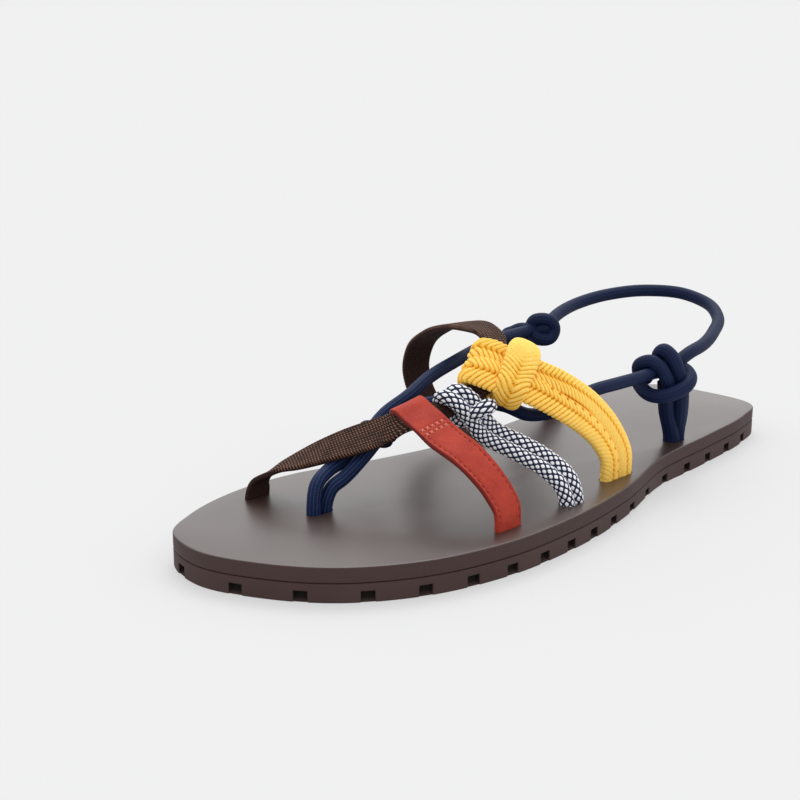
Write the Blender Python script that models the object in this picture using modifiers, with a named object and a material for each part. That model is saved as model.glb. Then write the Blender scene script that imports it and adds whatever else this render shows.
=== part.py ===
# Flat sandal, left shoe: a notched rubber sole with an upper of webbing, leather and cord.
# Millimetres in the tables, metres in the meshes. Toe at -Y, heel at +Y, lateral side at +X, +Z up.

from collections import namedtuple

import bmesh
import bpy
import numpy as np
from mathutils import Matrix, Vector

MM = 0.001
GAP = 0.3

# Sole
SOLE_LENGTH = 285.0
SOLE_HEIGHT = 12.0
OUTSOLE_HEIGHT = 6.5
EDGE_ROUND = 0.5
TOE_TIP_X = -15.9
HEEL_TIP_X = -5.1
OUTLINE_POINTS = 92
NOTCH_COUNT = 36
NOTCH_WIDTH = 4.7
NOTCH_HEIGHT = 3.3
NOTCH_DEPTH = 5.0
NOTCH_START = 2.0
ARCH_RISE = 0.9
ARCH_FROM_Y = -12.0
ARCH_TO_Y = 62.0
ARCH_STEPS = 8

# Straps and cords
WEBBING_THICK = 1.8
LEATHER_THICK = 2.0
LEATHER_WIDTH = 13.0
BRAID_THICK = 3.0
BRAID_RIB = 0.5
BRAID_RIB_PITCH = 5.4
BIGHT_WIDTH = 10.5
BIGHT_SHIFT = 6.0
WRAP_SHIFT = 1.2
CHECK_RADIUS = 2.8
HITCH_CHECK_RADIUS = 2.6
CORD_RADIUS = 2.3
HEEL_CORD_RADIUS = 2.5
ANCHOR_RADIUS = 2.4
SLOT_CLEARANCE = 0.4

# Sections along each strap
WEBBING_STEPS = 62
LEATHER_STEPS = 36
CHECK_STEPS = 66
BRAID_STEPS = 56
BIGHT_STEPS = 24
CORD_STEPS = 34
HEEL_STEPS = 32

FOOT_Z = OUTSOLE_HEIGHT + 2 * GAP
FOOTBED_TOP = SOLE_HEIGHT

Station = namedtuple("Station", "share lateral medial")
Fold = namedtuple("Fold", "x y z across_x across_y across_z width")
Slot = namedtuple("Slot", "x y length breadth")
Frame = namedtuple("Frame", "origin along across normal")

# Half widths of the sole, measured from the origin, by share of the length from the toe.
SOLE_STATIONS = (
    Station(0.025, 7.7, 36.9),
    Station(0.07, 26.8, 44.7),
    Station(0.15, 43.1, 52.0),
    Station(0.26, 52.1, 52.6),
    Station(0.38, 52.9, 42.9),
    Station(0.52, 47.4, 36.0),
    Station(0.66, 36.2, 37.9),
    Station(0.80, 32.3, 41.3),
    Station(0.92, 27.6, 39.1),
    Station(0.98, 21.6, 31.1),
)

# Where each strap goes down through the footbed; every slot runs along Y.
SLOTS = {
    "webbing_toe": Slot(-42.1, -93.6, 10.4, WEBBING_THICK),
    "webbing_waist": Slot(-27.1, 8.5, 12.0, WEBBING_THICK),
    "leather": Slot(43.4, -57.4, 12.2, LEATHER_THICK),
    "braid": Slot(36.9, 14.5, 19.6, BRAID_THICK + BRAID_RIB),
    "check": Slot(42.9, -22.0, 11.6, 2 * CHECK_RADIUS),
    "toe_post": Slot(-14.1, -89.5, 10.0, 2 * CORD_RADIUS),
    "heel_lateral": Slot(26.4, 68.8, 10.2, 2 * ANCHOR_RADIUS),
    "heel_medial": Slot(-35.1, 69.5, 10.2, 2 * ANCHOR_RADIUS),
}

# Webbing: one ribbon from the big-toe side, through both hitches, to the waist.
WEBBING_TOE = (
    Fold(-42.1, -93.6, FOOT_Z, 0.0, 1.0, 0.0, 10.4),
    Fold(-42.1, -93.6, 12.5, 0.0, 1.0, 0.0, 10.4),
    Fold(-41.6, -92.6, 17.0, -0.15, 0.98, 0.0, 10.8),
    Fold(-37.7, -88.2, 21.8, -0.54, 0.84, -0.05, 12.0),
    Fold(-30.5, -82.4, 25.9, -0.58, 0.78, 0.18, 13.2),
    Fold(-18.0, -74.6, 32.2, -0.62, 0.67, 0.41, 13.6),
    Fold(-5.7, -67.4, 37.9, -0.70, 0.54, 0.45, 12.6),
)
WEBBING_WAIST = (
    Fold(-1.7, -13.6, 63.6, -0.42, -0.85, 0.20, 11.0),
    Fold(-11.5, -10.2, 65.0, -0.30, -0.95, 0.0, 13.0),
    Fold(-25.0, -7.0, 63.2, -0.25, -0.97, 0.0, 13.0),
    Fold(-38.0, -3.8, 58.5, -0.20, -0.98, 0.0, 13.0),
    Fold(-48.6, -1.4, 50.5, -0.15, -0.98, 0.0, 13.0),
    Fold(-51.8, -0.6, 41.5, -0.10, -1.0, 0.0, 13.0),
    Fold(-49.2, 1.0, 30.0, -0.05, -1.0, 0.0, 12.8),
    Fold(-38.2, 6.2, 19.0, 0.0, -1.0, 0.0, 12.4),
    Fold(-28.4, 8.4, 14.4, 0.0, -1.0, 0.0, 12.0),
    Fold(-27.1, 8.5, 12.0, 0.0, -1.0, 0.0, 12.0),
    Fold(-27.1, 8.5, FOOT_Z, 0.0, -1.0, 0.0, 12.0),
)

# Where the three straps hold the webbing: the spot, the webbing's direction there, the direction across it
# towards the strap's slot, and the reach, shift and width of the webbing inside the hold. The leather and
# the checked cord cross it at slants of their own.
Hold = namedtuple("Hold", "spot along across before after shift width")
LEATHER_HOLD = Hold((3.1, -58.7, 42.6), (0.356, 0.917, 0.177), (0.876, -0.262, -0.403), 6.8, 6.8, 0.0,
                    9.5)
CHECK_HOLD = Hold((5.5, -42.0, 44.5), (0.21, 0.93, 0.29), (0.62, 0.11, -0.78), 5.5, 5.0, 0.0, 6.4)
BRAID_HOLD = Hold((10.0, -23.4, 53.0), (-0.25, 0.79, 0.56), (0.763, 0.517, -0.388), 9.0, 9.0, -4.0, 7.0)
LEATHER_TURN = ((0.192, 0.951, 0.248), (0.926, -0.092, -0.364))
CHECK_SLANT = (0.65, 0.49, -0.58)

# Leather strap from its slot up to the webbing; the loop round the webbing is worked out below.
LEATHER_FOLDS = (
    Fold(43.4, -57.4, FOOT_Z, 0.0, 1.0, 0.0, 12.2),
    Fold(43.4, -57.4, 12.5, 0.0, 1.0, 0.0, 12.2),
    Fold(42.9, -57.5, 18.7, 0.0, 1.0, 0.0, 12.6),
    Fold(39.7, -58.2, 24.1, 0.02, 1.0, 0.05, 13.0),
    Fold(34.6, -58.9, 29.3, 0.05, 1.0, 0.1, 13.2),
    Fold(27.0, -59.7, 34.6, 0.1, 0.98, 0.17, 13.4),
    Fold(17.0, -60.4, 39.0, 0.17, 0.95, 0.23, 13.3),
)

# Twin braid from its slot up to the hitch.
BRAID_FOLDS = (
    Fold(36.9, 14.5, FOOT_Z, 0.0, -1.0, 0.0, 19.6),
    Fold(36.9, 14.5, 12.5, 0.0, -1.0, 0.0, 19.6),
    Fold(37.2, 13.8, 20.0, 0.0, -1.0, 0.0, 19.6),
    Fold(35.4, 10.4, 30.0, 0.1, -0.95, -0.3, 19.6),
    Fold(31.2, 3.6, 39.0, 0.2, -0.85, -0.45, 19.6),
    Fold(27.2, -5.6, 45.8, 0.3, -0.78, -0.5, 19.6),
)


# Toe post: the route that both cords share, and the direction in which they lie beside each other.
POST_ROUTE = ((-14.1, -89.5, FOOT_Z), (-14.1, -89.5, 13.5), (-14.3, -86.8, 20.0), (-14.6, -80.5, 23.4),
              (-15.1, -71.5, 27.2), (-16.3, -60.5, 33.4), (-17.0, -51.0, 38.2), (-16.0, -42.0, 41.3))
POST_APART = ((0.0, 1.0, 0.0), (0.0, 1.0, 0.0), (0.3, 0.9, -0.3), (0.8, 0.4, -0.3), (0.98, 0.0, 0.17),
              (0.98, 0.0, 0.1), (0.95, 0.0, -0.1), (0.9, 0.0, -0.4))
CORD_ENDS = {
    "toe_cord_lateral": ((-8.0, -31.0, 41.2), (4.0, -23.0, 39.2), (14.5, -16.0, 38.0), (20.0, -7.5, 38.4),
                         (22.6, 2.5, 40.6), (24.6, 13.0, 43.1), (27.0, 28.0, 44.0), (28.6, 39.0, 43.4),
                         (29.3, 47.5, 42.8)),
    "toe_cord_medial": ((-20.6, -26.0, 47.4), (-22.6, -10.0, 50.0), (-25.4, 6.0, 51.6), (-28.0, 22.0, 52.6),
                        (-29.4, 40.5, 52.4)),
}

# Knot where the toe cords part
TOE_KNOT_SPOT = (-16.4, -59.4, 34.0)
TOE_KNOT_ALONG = (-0.08, 0.88, 0.47)
TOE_KNOT_RADIUS = 1.8

# Heel cord from the medial knot round the back to the lateral knot.
HEEL_ROUTE = ((-29.2, 54.5, 53.6), (-33.5, 68.0, 57.0), (-36.0, 84.0, 59.2), (-33.0, 101.0, 60.2),
              (-24.0, 116.5, 60.2), (-10.5, 126.0, 58.8), (3.0, 125.0, 56.6), (14.5, 114.5, 53.6),
              (22.4, 98.0, 50.4), (28.6, 80.0, 47.0), (31.0, 62.0, 43.8))

# Heel knots: a ring round the anchor and turns of cord over it.
KNOT_CENTRES = {1.0: (29.8, 56.0, 40.5), -1.0: (-29.0, 48.5, 52.0)}
KnotRing = namedtuple("KnotRing", "right front drop tilt")
KNOT_RING = KnotRing(9.6, 7.2, -3.0, 1.5)
KNOT_TURNS = (
    ((-9.2, -1.0, -3.5), (-9.4, 4.5, -0.5), (-5.0, 7.3, 2.5), (-0.5, 4.5, 4.5), (1.8, -2.0, 4.8)),
    ((-2.0, 7.5, -4.0), (0.8, 11.6, -2.0), (4.2, 9.0, 1.5), (6.0, 3.0, 3.0), (6.2, -2.5, 3.0)),
    ((-7.5, -2.0, -4.0), (-3.0, 5.5, -6.0), (2.0, 7.0, -5.0), (7.5, 0.0, -4.0), (8.5, -3.0, -2.0)),
)


def unit(vector):
    vector = np.asarray(vector, float)
    return vector / np.linalg.norm(vector)


def smooth_rows(rows, samples, closed=False):
    # Cubic curve through the rows, timed by the distance between their first three columns.
    # Samples are spread half by that distance and half by row, so tight turns get more of them.
    rows = np.asarray(rows, float)
    if closed:
        rows = np.vstack([rows[-2:], rows, rows[:3]])
    steps = np.linalg.norm(np.diff(rows[:, :3], axis=0), axis=1)
    knots = np.concatenate([[0.0], np.cumsum(steps)])
    slopes = np.diff(rows, axis=0) / steps[:, None]
    before, after = steps[:-1, None], steps[1:, None]
    inner = (slopes[:-1] * after + slopes[1:] * before) / (before + after)
    tangents = np.vstack([slopes[:1], inner, slopes[-1:]])
    start, end = (knots[2], knots[-3]) if closed else (knots[0], knots[-1])
    if closed:
        times = np.linspace(start, end, samples + 1)[:-1]
    else:
        pace = 0.5 * knots / knots[-1] + 0.5 * np.arange(len(knots)) / len(steps)
        times = np.interp(np.linspace(0.0, 1.0, samples), pace, knots)
    spans = np.clip(np.searchsorted(knots, times, side="right") - 1, 0, len(steps) - 1)
    share = ((times - knots[spans]) / steps[spans])[:, None]
    length = steps[spans][:, None]
    square, cube = share ** 2, share ** 3
    return ((2 * cube - 3 * square + 1) * rows[spans]
            + (cube - 2 * square + share) * length * tangents[spans]
            + (3 * square - 2 * cube) * rows[spans + 1]
            + (cube - square) * length * tangents[spans + 1])


def frame_on(origin, along, across):
    along = unit(along)
    across = np.asarray(across, float)
    across = unit(across - along * np.dot(across, along))
    return Frame(np.asarray(origin, float), along, across, np.cross(along, across))


def place(frame, along, across, normal):
    return frame.origin + frame.along * along + frame.across * across + frame.normal * normal


def make_material(name, color, roughness):
    material = bpy.data.materials.new(name)
    material.use_nodes = True
    shader = material.node_tree.nodes["Principled BSDF"]
    shader.inputs["Base Color"].default_value = (*color, 1.0)
    shader.inputs["Roughness"].default_value = roughness
    shader.inputs["Metallic"].default_value = 0.0
    return material


def add_object(name, mesh, collection, material=None):
    item = bpy.data.objects.new(name, mesh)
    collection.objects.link(item)
    if material:
        mesh.materials.append(material)
    return item


def as_cutter(item):
    item.hide_render = True
    item.display_type = "WIRE"
    return item


def shade(item, angle=0.7):
    item.data.shade_smooth()
    item.data.set_sharp_from_angle(angle=angle)


def mesh_of(curve_object):
    # Solid mesh of a curve, with its caps welded on.
    graph = bpy.context.evaluated_depsgraph_get()
    mesh = bpy.data.meshes.new_from_object(curve_object.evaluated_get(graph))
    data = curve_object.data
    bpy.data.objects.remove(curve_object)
    bpy.data.curves.remove(data)
    shell = bmesh.new()
    shell.from_mesh(mesh)
    bmesh.ops.remove_doubles(shell, verts=shell.verts, dist=0.00001)
    bmesh.ops.recalc_face_normals(shell, faces=shell.faces)
    shell.to_mesh(mesh)
    shell.free()
    return mesh


def tube_mesh(points, radius, sides=8, closed=False, radii=None):
    # Round cord along the points, given in millimetres.
    curve = bpy.data.curves.new("cord", "CURVE")
    curve.dimensions = "3D"
    curve.bevel_depth = radius * MM
    curve.bevel_resolution = sides // 2 - 2
    curve.use_fill_caps = not closed
    spline = curve.splines.new("POLY")
    spline.points.add(len(points) - 1)
    for index, point in enumerate(points):
        spline.points[index].co = (*(np.asarray(point) * MM), 1.0)
        if radii is not None:
            spline.points[index].radius = radii[index]
    spline.use_cyclic_u = closed
    item = bpy.data.objects.new("cord", curve)
    bpy.context.scene.collection.objects.link(item)
    return mesh_of(item)


def slab_mesh(outline, bottom, top):
    # Flat outline filled and given its height.
    curve = bpy.data.curves.new("slab", "CURVE")
    curve.dimensions = "2D"
    curve.fill_mode = "BOTH"
    curve.extrude = 0.5 * (top - bottom) * MM
    spline = curve.splines.new("POLY")
    spline.points.add(len(outline) - 1)
    for index, point in enumerate(outline):
        spline.points[index].co = (point[0] * MM, point[1] * MM, 0.0, 1.0)
    spline.use_cyclic_u = True
    item = bpy.data.objects.new("slab", curve)
    bpy.context.scene.collection.objects.link(item)
    mesh = mesh_of(item)
    mesh.transform(Matrix.Translation((0.0, 0.0, 0.5 * (top + bottom) * MM)))
    return mesh


def loft_mesh(rings):
    # Closed skin over a row of sections, with a face over each end.
    rings = np.asarray(rings, float) * MM
    count, around = rings.shape[:2]
    shell = bmesh.new()
    verts = [shell.verts.new(point) for point in rings.reshape(-1, 3)]
    for row in range(count - 1):
        for col in range(around):
            nxt = (col + 1) % around
            shell.faces.new((verts[row * around + col], verts[row * around + nxt],
                             verts[(row + 1) * around + nxt], verts[(row + 1) * around + col]))
    shell.faces.new(verts[:around])
    shell.faces.new(verts[-around:])
    bmesh.ops.recalc_face_normals(shell, faces=shell.faces)
    mesh = bpy.data.meshes.new("loft")
    shell.to_mesh(mesh)
    shell.free()
    return mesh


def ribbon_frames(folds, samples):
    # Evenly spaced frames along a ribbon, with the width at each.
    rows = smooth_rows(folds, samples)
    points = rows[:, :3]
    tangents = np.gradient(points, axis=0)
    frames = [frame_on(p, t, a) for p, t, a in zip(points, tangents, rows[:, 3:6])]
    return frames, rows[:, 6]


def hold_frame(hold):
    # Frame of a hold with its normal pointing out of the shoe.
    frame = frame_on(hold.spot, hold.along, hold.across)
    return Frame(frame.origin, frame.along, frame.across, -frame.normal)


def webbing_folds():
    folds = list(WEBBING_TOE)
    for hold in (LEATHER_HOLD, CHECK_HOLD, BRAID_HOLD):
        frame = hold_frame(hold)
        for reach in (-hold.before, 0.0, hold.after):
            folds.append(Fold(*place(frame, reach, hold.shift, 0.0), *(-frame.across), hold.width))
    return folds + list(WEBBING_WAIST)


def ribbon_rings(folds, samples, thickness, grow=0.0):
    # Flat band with softened edges: eight points a section.
    frames, widths = ribbon_frames(folds, samples)
    half = 0.5 * thickness + grow
    soft = 0.35 * thickness
    rings = []
    for frame, width in zip(frames, widths):
        edge = 0.5 * width + grow
        section = ((-edge, soft - half), (soft - edge, -half), (edge - soft, -half), (edge, soft - half),
                   (edge, half - soft), (edge - soft, half), (soft - edge, half), (-edge, half - soft))
        rings.append([place(frame, 0.0, across, normal) for across, normal in section])
    return rings


def braid_rings(folds, samples, strands, thickness):
    # Flat braids side by side: each is crowned and its herringbone strips stand proud on the outer face.
    frames, widths = ribbon_frames(folds, samples)
    points = np.array([frame.origin for frame in frames])
    travel = np.concatenate([[0.0], np.cumsum(np.linalg.norm(np.diff(points, axis=0), axis=1))])
    profile = (-1.0, -0.55, 0.0, 0.55, 1.0)
    rings = []
    for frame, width, done in zip(frames, widths, travel):
        strand = width / strands
        outer = []
        for number in range(strands):
            middle = (number + 0.5) * strand - 0.5 * width
            for spot in profile[(1 if number else 0):]:
                crown = 0.5 * thickness * (1.0 - 0.55 * spot ** 2)
                phase = (done - abs(spot) * 0.5 * strand) / BRAID_RIB_PITCH
                crown += BRAID_RIB * (1.0 - abs(spot)) * (0.5 + 0.5 * np.cos(2 * np.pi * phase))
                outer.append((middle + 0.5 * strand * spot * 0.98, crown))
        inner = [(spot * 0.46 * width, -0.5 * thickness) for spot in (1.0, 0.0, -1.0)]
        rings.append([place(frame, 0.0, across, normal) for across, normal in outer + inner])
    return rings


def sole_outline():
    toe_y = -0.5 * SOLE_LENGTH
    heights = [toe_y + row.share * SOLE_LENGTH for row in SOLE_STATIONS]
    lateral = [(row.lateral, y, 0.0) for row, y in zip(SOLE_STATIONS, heights)]
    medial = [(-row.medial, y, 0.0) for row, y in zip(SOLE_STATIONS, heights)]
    loop = [(TOE_TIP_X, toe_y, 0.0)] + lateral + [(HEEL_TIP_X, -toe_y, 0.0)] + medial[::-1]
    return smooth_rows(loop, OUTLINE_POINTS, closed=True)[:, :2]


def evenly_round(outline, count, start):
    # Points and inward directions spaced evenly round the outline, from the toe along the lateral side.
    ring = np.vstack([outline, outline[:1]])
    travel = np.concatenate([[0.0], np.cumsum(np.linalg.norm(np.diff(ring, axis=0), axis=1))])
    places = (start + np.arange(count) * travel[-1] / count) % travel[-1]
    spots = np.stack([np.interp(places, travel, ring[:, axis]) for axis in (0, 1)], 1)
    ahead = np.stack([np.interp((places + 1.0) % travel[-1], travel, ring[:, axis]) for axis in (0, 1)], 1)
    along = (ahead - spots) / np.linalg.norm(ahead - spots, axis=1)[:, None]
    return spots, np.stack([-along[:, 1], along[:, 0]], 1)


def box_set(name, boxes, collection):
    # Loose boxes kept in one cutter: each is (centre, size, turn about Z), in millimetres.
    shell = bmesh.new()
    for centre, size, turn in boxes:
        matrix = (Matrix.Translation(Vector(centre) * MM) @ Matrix.Rotation(turn, 4, "Z")
                  @ Matrix.Diagonal((*(Vector(size) * MM), 1.0)))
        bmesh.ops.create_cube(shell, size=1.0, matrix=matrix)
    mesh = bpy.data.meshes.new(name)
    shell.to_mesh(mesh)
    shell.free()
    return as_cutter(add_object(name, mesh, collection))


def cut(item, cutter, operation="DIFFERENCE"):
    modifier = item.modifiers.new(cutter.name, "BOOLEAN")
    modifier.operation = operation
    modifier.object = cutter
    modifier.solver = "EXACT"
    modifier.use_self = True


def soften(item, width):
    modifier = item.modifiers.new("edges", "BEVEL")
    modifier.width = width * MM
    modifier.segments = 1
    modifier.limit_method = "ANGLE"
    modifier.angle_limit = 1.0


def arch_cutter(collection):
    # Shallow arc under the waist, drawn in the length-height plane and carried across the sole.
    middle = 0.5 * (ARCH_FROM_Y + ARCH_TO_Y)
    half = 0.5 * (ARCH_TO_Y - ARCH_FROM_Y)
    ys = np.linspace(-half, half, ARCH_STEPS + 1)
    arc = [(y, ARCH_RISE * np.cos(0.5 * np.pi * y / half)) for y in ys]
    outline = [(half, -2.0)] + arc[::-1] + [(-half, -2.0)]
    mesh = slab_mesh(outline[::-1], -80.0, 80.0)
    upright = Matrix(((0.0, 0.0, 1.0, 0.0), (1.0, 0.0, 0.0, middle * MM), (0.0, 1.0, 0.0, 0.0),
                      (0.0, 0.0, 0.0, 1.0)))
    mesh.transform(upright)
    return as_cutter(add_object("arch_cutter", mesh, collection))


def build_sole(parts, cutters, materials):
    outline = sole_outline()
    outsole = add_object("outsole", slab_mesh(outline, 0.0, OUTSOLE_HEIGHT), parts, materials["rubber"])
    soften(outsole, EDGE_ROUND)
    spots, inward = evenly_round(outline, NOTCH_COUNT, NOTCH_START)
    reach = NOTCH_DEPTH + 4.0
    notches = []
    for spot, direction in zip(spots, inward):
        centre = spot + direction * (0.5 * reach - 4.0)
        turn = np.arctan2(direction[1], direction[0])
        notches.append(((*centre, 0.0), (reach, NOTCH_WIDTH, 2 * NOTCH_HEIGHT), turn))
    cut(outsole, box_set("notch_cutter", notches, cutters))
    cut(outsole, arch_cutter(cutters))
    upper_slab = slab_mesh(outline, OUTSOLE_HEIGHT + GAP, FOOTBED_TOP)
    footbed = add_object("footbed", upper_slab, parts, materials["footbed"])
    soften(footbed, EDGE_ROUND)
    slots = [((slot.x, slot.y, FOOTBED_TOP - 2.0),
              (slot.breadth + 2 * SLOT_CLEARANCE, slot.length + 2 * SLOT_CLEARANCE, 12.0), 0.0)
             for slot in SLOTS.values()]
    cut(footbed, box_set("slot_cutter", slots, cutters))


def build_webbing(parts, materials):
    mesh = loft_mesh(ribbon_rings(webbing_folds(), WEBBING_STEPS, WEBBING_THICK))
    shade(add_object("webbing_strap", mesh, parts, materials["webbing"]))


def webbing_room(cutters):
    # Webbing with the seating gap all round it, cut out of the straps that hold it.
    mesh = loft_mesh(ribbon_rings(webbing_folds(), WEBBING_STEPS, WEBBING_THICK, GAP))
    return as_cutter(add_object("webbing_room", mesh, cutters))


def leather_folds():
    # The strap passes over the webbing, folds round its upper edge and is sewn to itself behind.
    hold = hold_frame(Hold(LEATHER_HOLD.spot, *LEATHER_TURN, 0.0, 0.0, 0.0, LEATHER_WIDTH))
    stand = 0.5 * (WEBBING_THICK + LEATHER_THICK) + GAP
    edge = 0.5 * LEATHER_HOLD.width + 2 * GAP
    loop = ((6.0, stand + 0.2), (0.0, stand), (0.3 - edge, stand), (-edge - 0.9, 0.72 * stand),
            (-edge - 1.5, 0.0), (-edge - 0.9, -0.72 * stand), (0.3 - edge, -stand), (0.5, -stand),
            (3.2, -stand))
    folds = list(LEATHER_FOLDS)
    for across, normal in loop:
        folds.append(Fold(*place(hold, 0.0, across, normal), *hold.along, LEATHER_WIDTH))
    return folds


def build_leather(parts, room, materials):
    mesh = loft_mesh(ribbon_rings(leather_folds(), LEATHER_STEPS, LEATHER_THICK))
    strap = add_object("leather_strap", mesh, parts, materials["leather"])
    cut(strap, room)
    shade(strap)


def leather_room(cutters):
    mesh = loft_mesh(ribbon_rings(leather_folds(), LEATHER_STEPS, LEATHER_THICK, GAP))
    return as_cutter(add_object("leather_room", mesh, cutters))


def check_route():
    # Doubled cord: up from the slot, under the bight, over and round the webbing and up into the bight.
    # Every row ends in the radius there, as a share of the full radius.
    square = hold_frame(CHECK_HOLD)
    hold = Frame(square.origin, square.along, unit(CHECK_SLANT), square.normal)
    slot = SLOTS["check"]
    side = 0.5 * slot.length - CHECK_RADIUS
    thin = HITCH_CHECK_RADIUS / CHECK_RADIUS
    rise = ((slot.x, slot.y, FOOT_Z), (slot.x, slot.y, 13.0), (40.6, -23.4, 20.0), (34.7, -27.0, 26.0),
            (26.5, -32.0, 31.4))
    lean = ((0.0, 1.0, 0.0), (0.0, 1.0, 0.0), (0.0, 0.93, 0.37), (-0.1, 0.88, 0.46), (0.0, 0.88, 0.48))
    turns = ((3.6, 15.0, 1.2, 0.95), (3.15, 7.5, 3.3, thin), (3.15, 1.0, 4.1, thin),
             (3.15, -3.5, 3.7, thin), (3.2, -5.6, 2.4, thin), (3.2, -6.4, 0.0, thin),
             (3.3, -5.6, -2.6, thin), (3.5, -3.5, -3.8, thin), (5.0, 0.5, -4.2, thin),
             (7.0, 4.2, -3.4, thin), (9.0, 6.6, -0.6, thin), (9.3, 7.4, 3.2, thin),
             (7.4, 7.5, 7.4, thin), (2.4, 7.5, 9.2, thin))
    halves = []
    for sign in (-1.0, 1.0):
        points = [(*(np.array(p) + np.array(d) * sign * side), 1.0) for p, d in zip(rise, lean)]
        points += [(*place(hold, sign * turn[0], turn[1], turn[2]), turn[3]) for turn in turns]
        halves.append(points)
    return smooth_rows(halves[0] + halves[1][::-1], CHECK_STEPS)


def build_check_cord(parts, rooms, materials):
    route = check_route()
    mesh = tube_mesh(route[:, :3], CHECK_RADIUS, radii=route[:, 3])
    cord = add_object("check_cord", mesh, parts, materials["check"])
    for room in rooms:
        cut(cord, room)
    shade(cord)


def check_room(cutters):
    route = check_route()
    mesh = tube_mesh(route[:, :3], CHECK_RADIUS + GAP, radii=route[:, 3])
    return as_cutter(add_object("check_room", mesh, cutters))


def build_braid(parts, cutters, rooms, materials):
    # The twin braid hooks round the webbing and the bight is drawn over it.
    hold = hold_frame(BRAID_HOLD)
    stand = 0.5 * (WEBBING_THICK + BRAID_THICK) + GAP + 0.3
    wrap = ((11.0, stand + 0.3), (3.0, stand), (-7.6, stand), (-10.2, 0.72 * stand), (-11.2, 0.0),
            (-10.2, -0.72 * stand), (-7.6, -stand), (0.0, -stand), (8.0, -stand))
    folds = list(BRAID_FOLDS)
    for across, normal in wrap:
        folds.append(Fold(*place(hold, WRAP_SHIFT, across, normal), *(-hold.along), 19.6))
    strap = add_object("braid_strap", loft_mesh(braid_rings(folds, BRAID_STEPS, 2, BRAID_THICK)), parts,
                       materials["braid"])
    over = stand + BRAID_THICK + 0.2
    arch = ((-6.0, -stand), (-10.4, -stand + 0.6), (-11.6, 1.2), (-8.5, over - 0.6), (0.0, over),
            (10.5, over - 0.2), (15.0, 2.4), (14.0, -stand + 0.8), (8.5, -stand))
    bight = [Fold(*place(hold, along, BIGHT_SHIFT, normal), *(-hold.across), BIGHT_WIDTH)
             for along, normal in arch]
    loop = add_object("bight_cutter", loft_mesh(braid_rings(bight, BIGHT_STEPS, 1, BRAID_THICK)), cutters)
    cut(strap, as_cutter(loop), "UNION")
    for room in rooms:
        cut(strap, room)
    shade(strap)


def knot_points(side, centre, table):
    # Knot tables hold distances to the right, up and to the front, seen from outside the shoe.
    right = unit((0.72 * side, 0.69, 0.0))
    front = unit((0.69 * side, -0.72, 0.0))
    up = np.array((0.0, 0.0, 1.0))
    return [np.asarray(centre) + right * r + up * u + front * f for r, u, f in table]


def toe_route(name, sign):
    side = 0.5 * SLOTS["toe_post"].length - CORD_RADIUS
    points = [np.array(p) + unit(d) * sign * side for p, d in zip(POST_ROUTE, POST_APART)]
    return smooth_rows(points + [np.array(p) for p in CORD_ENDS[name]], CORD_STEPS)


def build_toe_cords(parts, materials):
    # Two cords share the post between the toes, pass under the webbing and part towards the heel knots.
    for name, sign in (("toe_cord_lateral", 1.0), ("toe_cord_medial", -1.0)):
        shade(add_object(name, tube_mesh(toe_route(name, sign), CORD_RADIUS), parts, materials["navy"]))


def build_toe_knot(parts, cutters, room, materials):
    # Two turns of cord round both toe cords where they part.
    spot = np.array(TOE_KNOT_SPOT)
    along = unit(TOE_KNOT_ALONG)
    frame = frame_on(spot, along, (1.0, 0.0, 0.0))
    wide = 0.5 * SLOTS["toe_post"].length + GAP + TOE_KNOT_RADIUS
    high = CORD_RADIUS + GAP + TOE_KNOT_RADIUS
    angles = np.linspace(0.0, 2 * np.pi, 14, endpoint=False)
    rings = []
    for offset in (-0.8 * TOE_KNOT_RADIUS, 0.8 * TOE_KNOT_RADIUS):
        points = [place(frame, offset + 0.8 * np.sin(a), wide * np.cos(a), high * np.sin(a))
                  for a in angles]
        rings.append(tube_mesh(points, TOE_KNOT_RADIUS, sides=6, closed=True))
    knot = add_object("toe_cord_knot", rings[0], parts, materials["navy"])
    cut(knot, as_cutter(add_object("second_turn", rings[1], cutters)), "UNION")
    for name, sign in (("toe_cord_lateral", 1.0), ("toe_cord_medial", -1.0)):
        mesh = tube_mesh(toe_route(name, sign), CORD_RADIUS + GAP)
        cut(knot, as_cutter(add_object("room_of_" + name, mesh, cutters)))
    cut(knot, room)
    shade(knot)


def anchor_legs(side):
    # Two legs of the doubled cord pressed together, from a heel slot up into the knot.
    slot = SLOTS["heel_lateral" if side > 0 else "heel_medial"]
    top = np.array(KNOT_CENTRES[side]) - (0.0, 0.0, 1.0)
    half = ANCHOR_RADIUS - 0.15
    legs = []
    for sign in (-1.0, 1.0):
        spread = np.array((0.0, sign * half, 0.0))
        mouth = np.array((slot.x, slot.y, 13.0))
        rows = ((slot.x, slot.y, FOOT_Z), mouth, 0.55 * mouth + 0.45 * top, top)
        legs.append(smooth_rows([np.array(row) + spread for row in rows], 10))
    return legs


def longer(points, share):
    # The same route carried on a little past both ends.
    points = np.asarray(points)
    return np.vstack([points[0] + unit(points[0] - points[1]) * share, points,
                      points[-1] + unit(points[-1] - points[-2]) * share])


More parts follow.
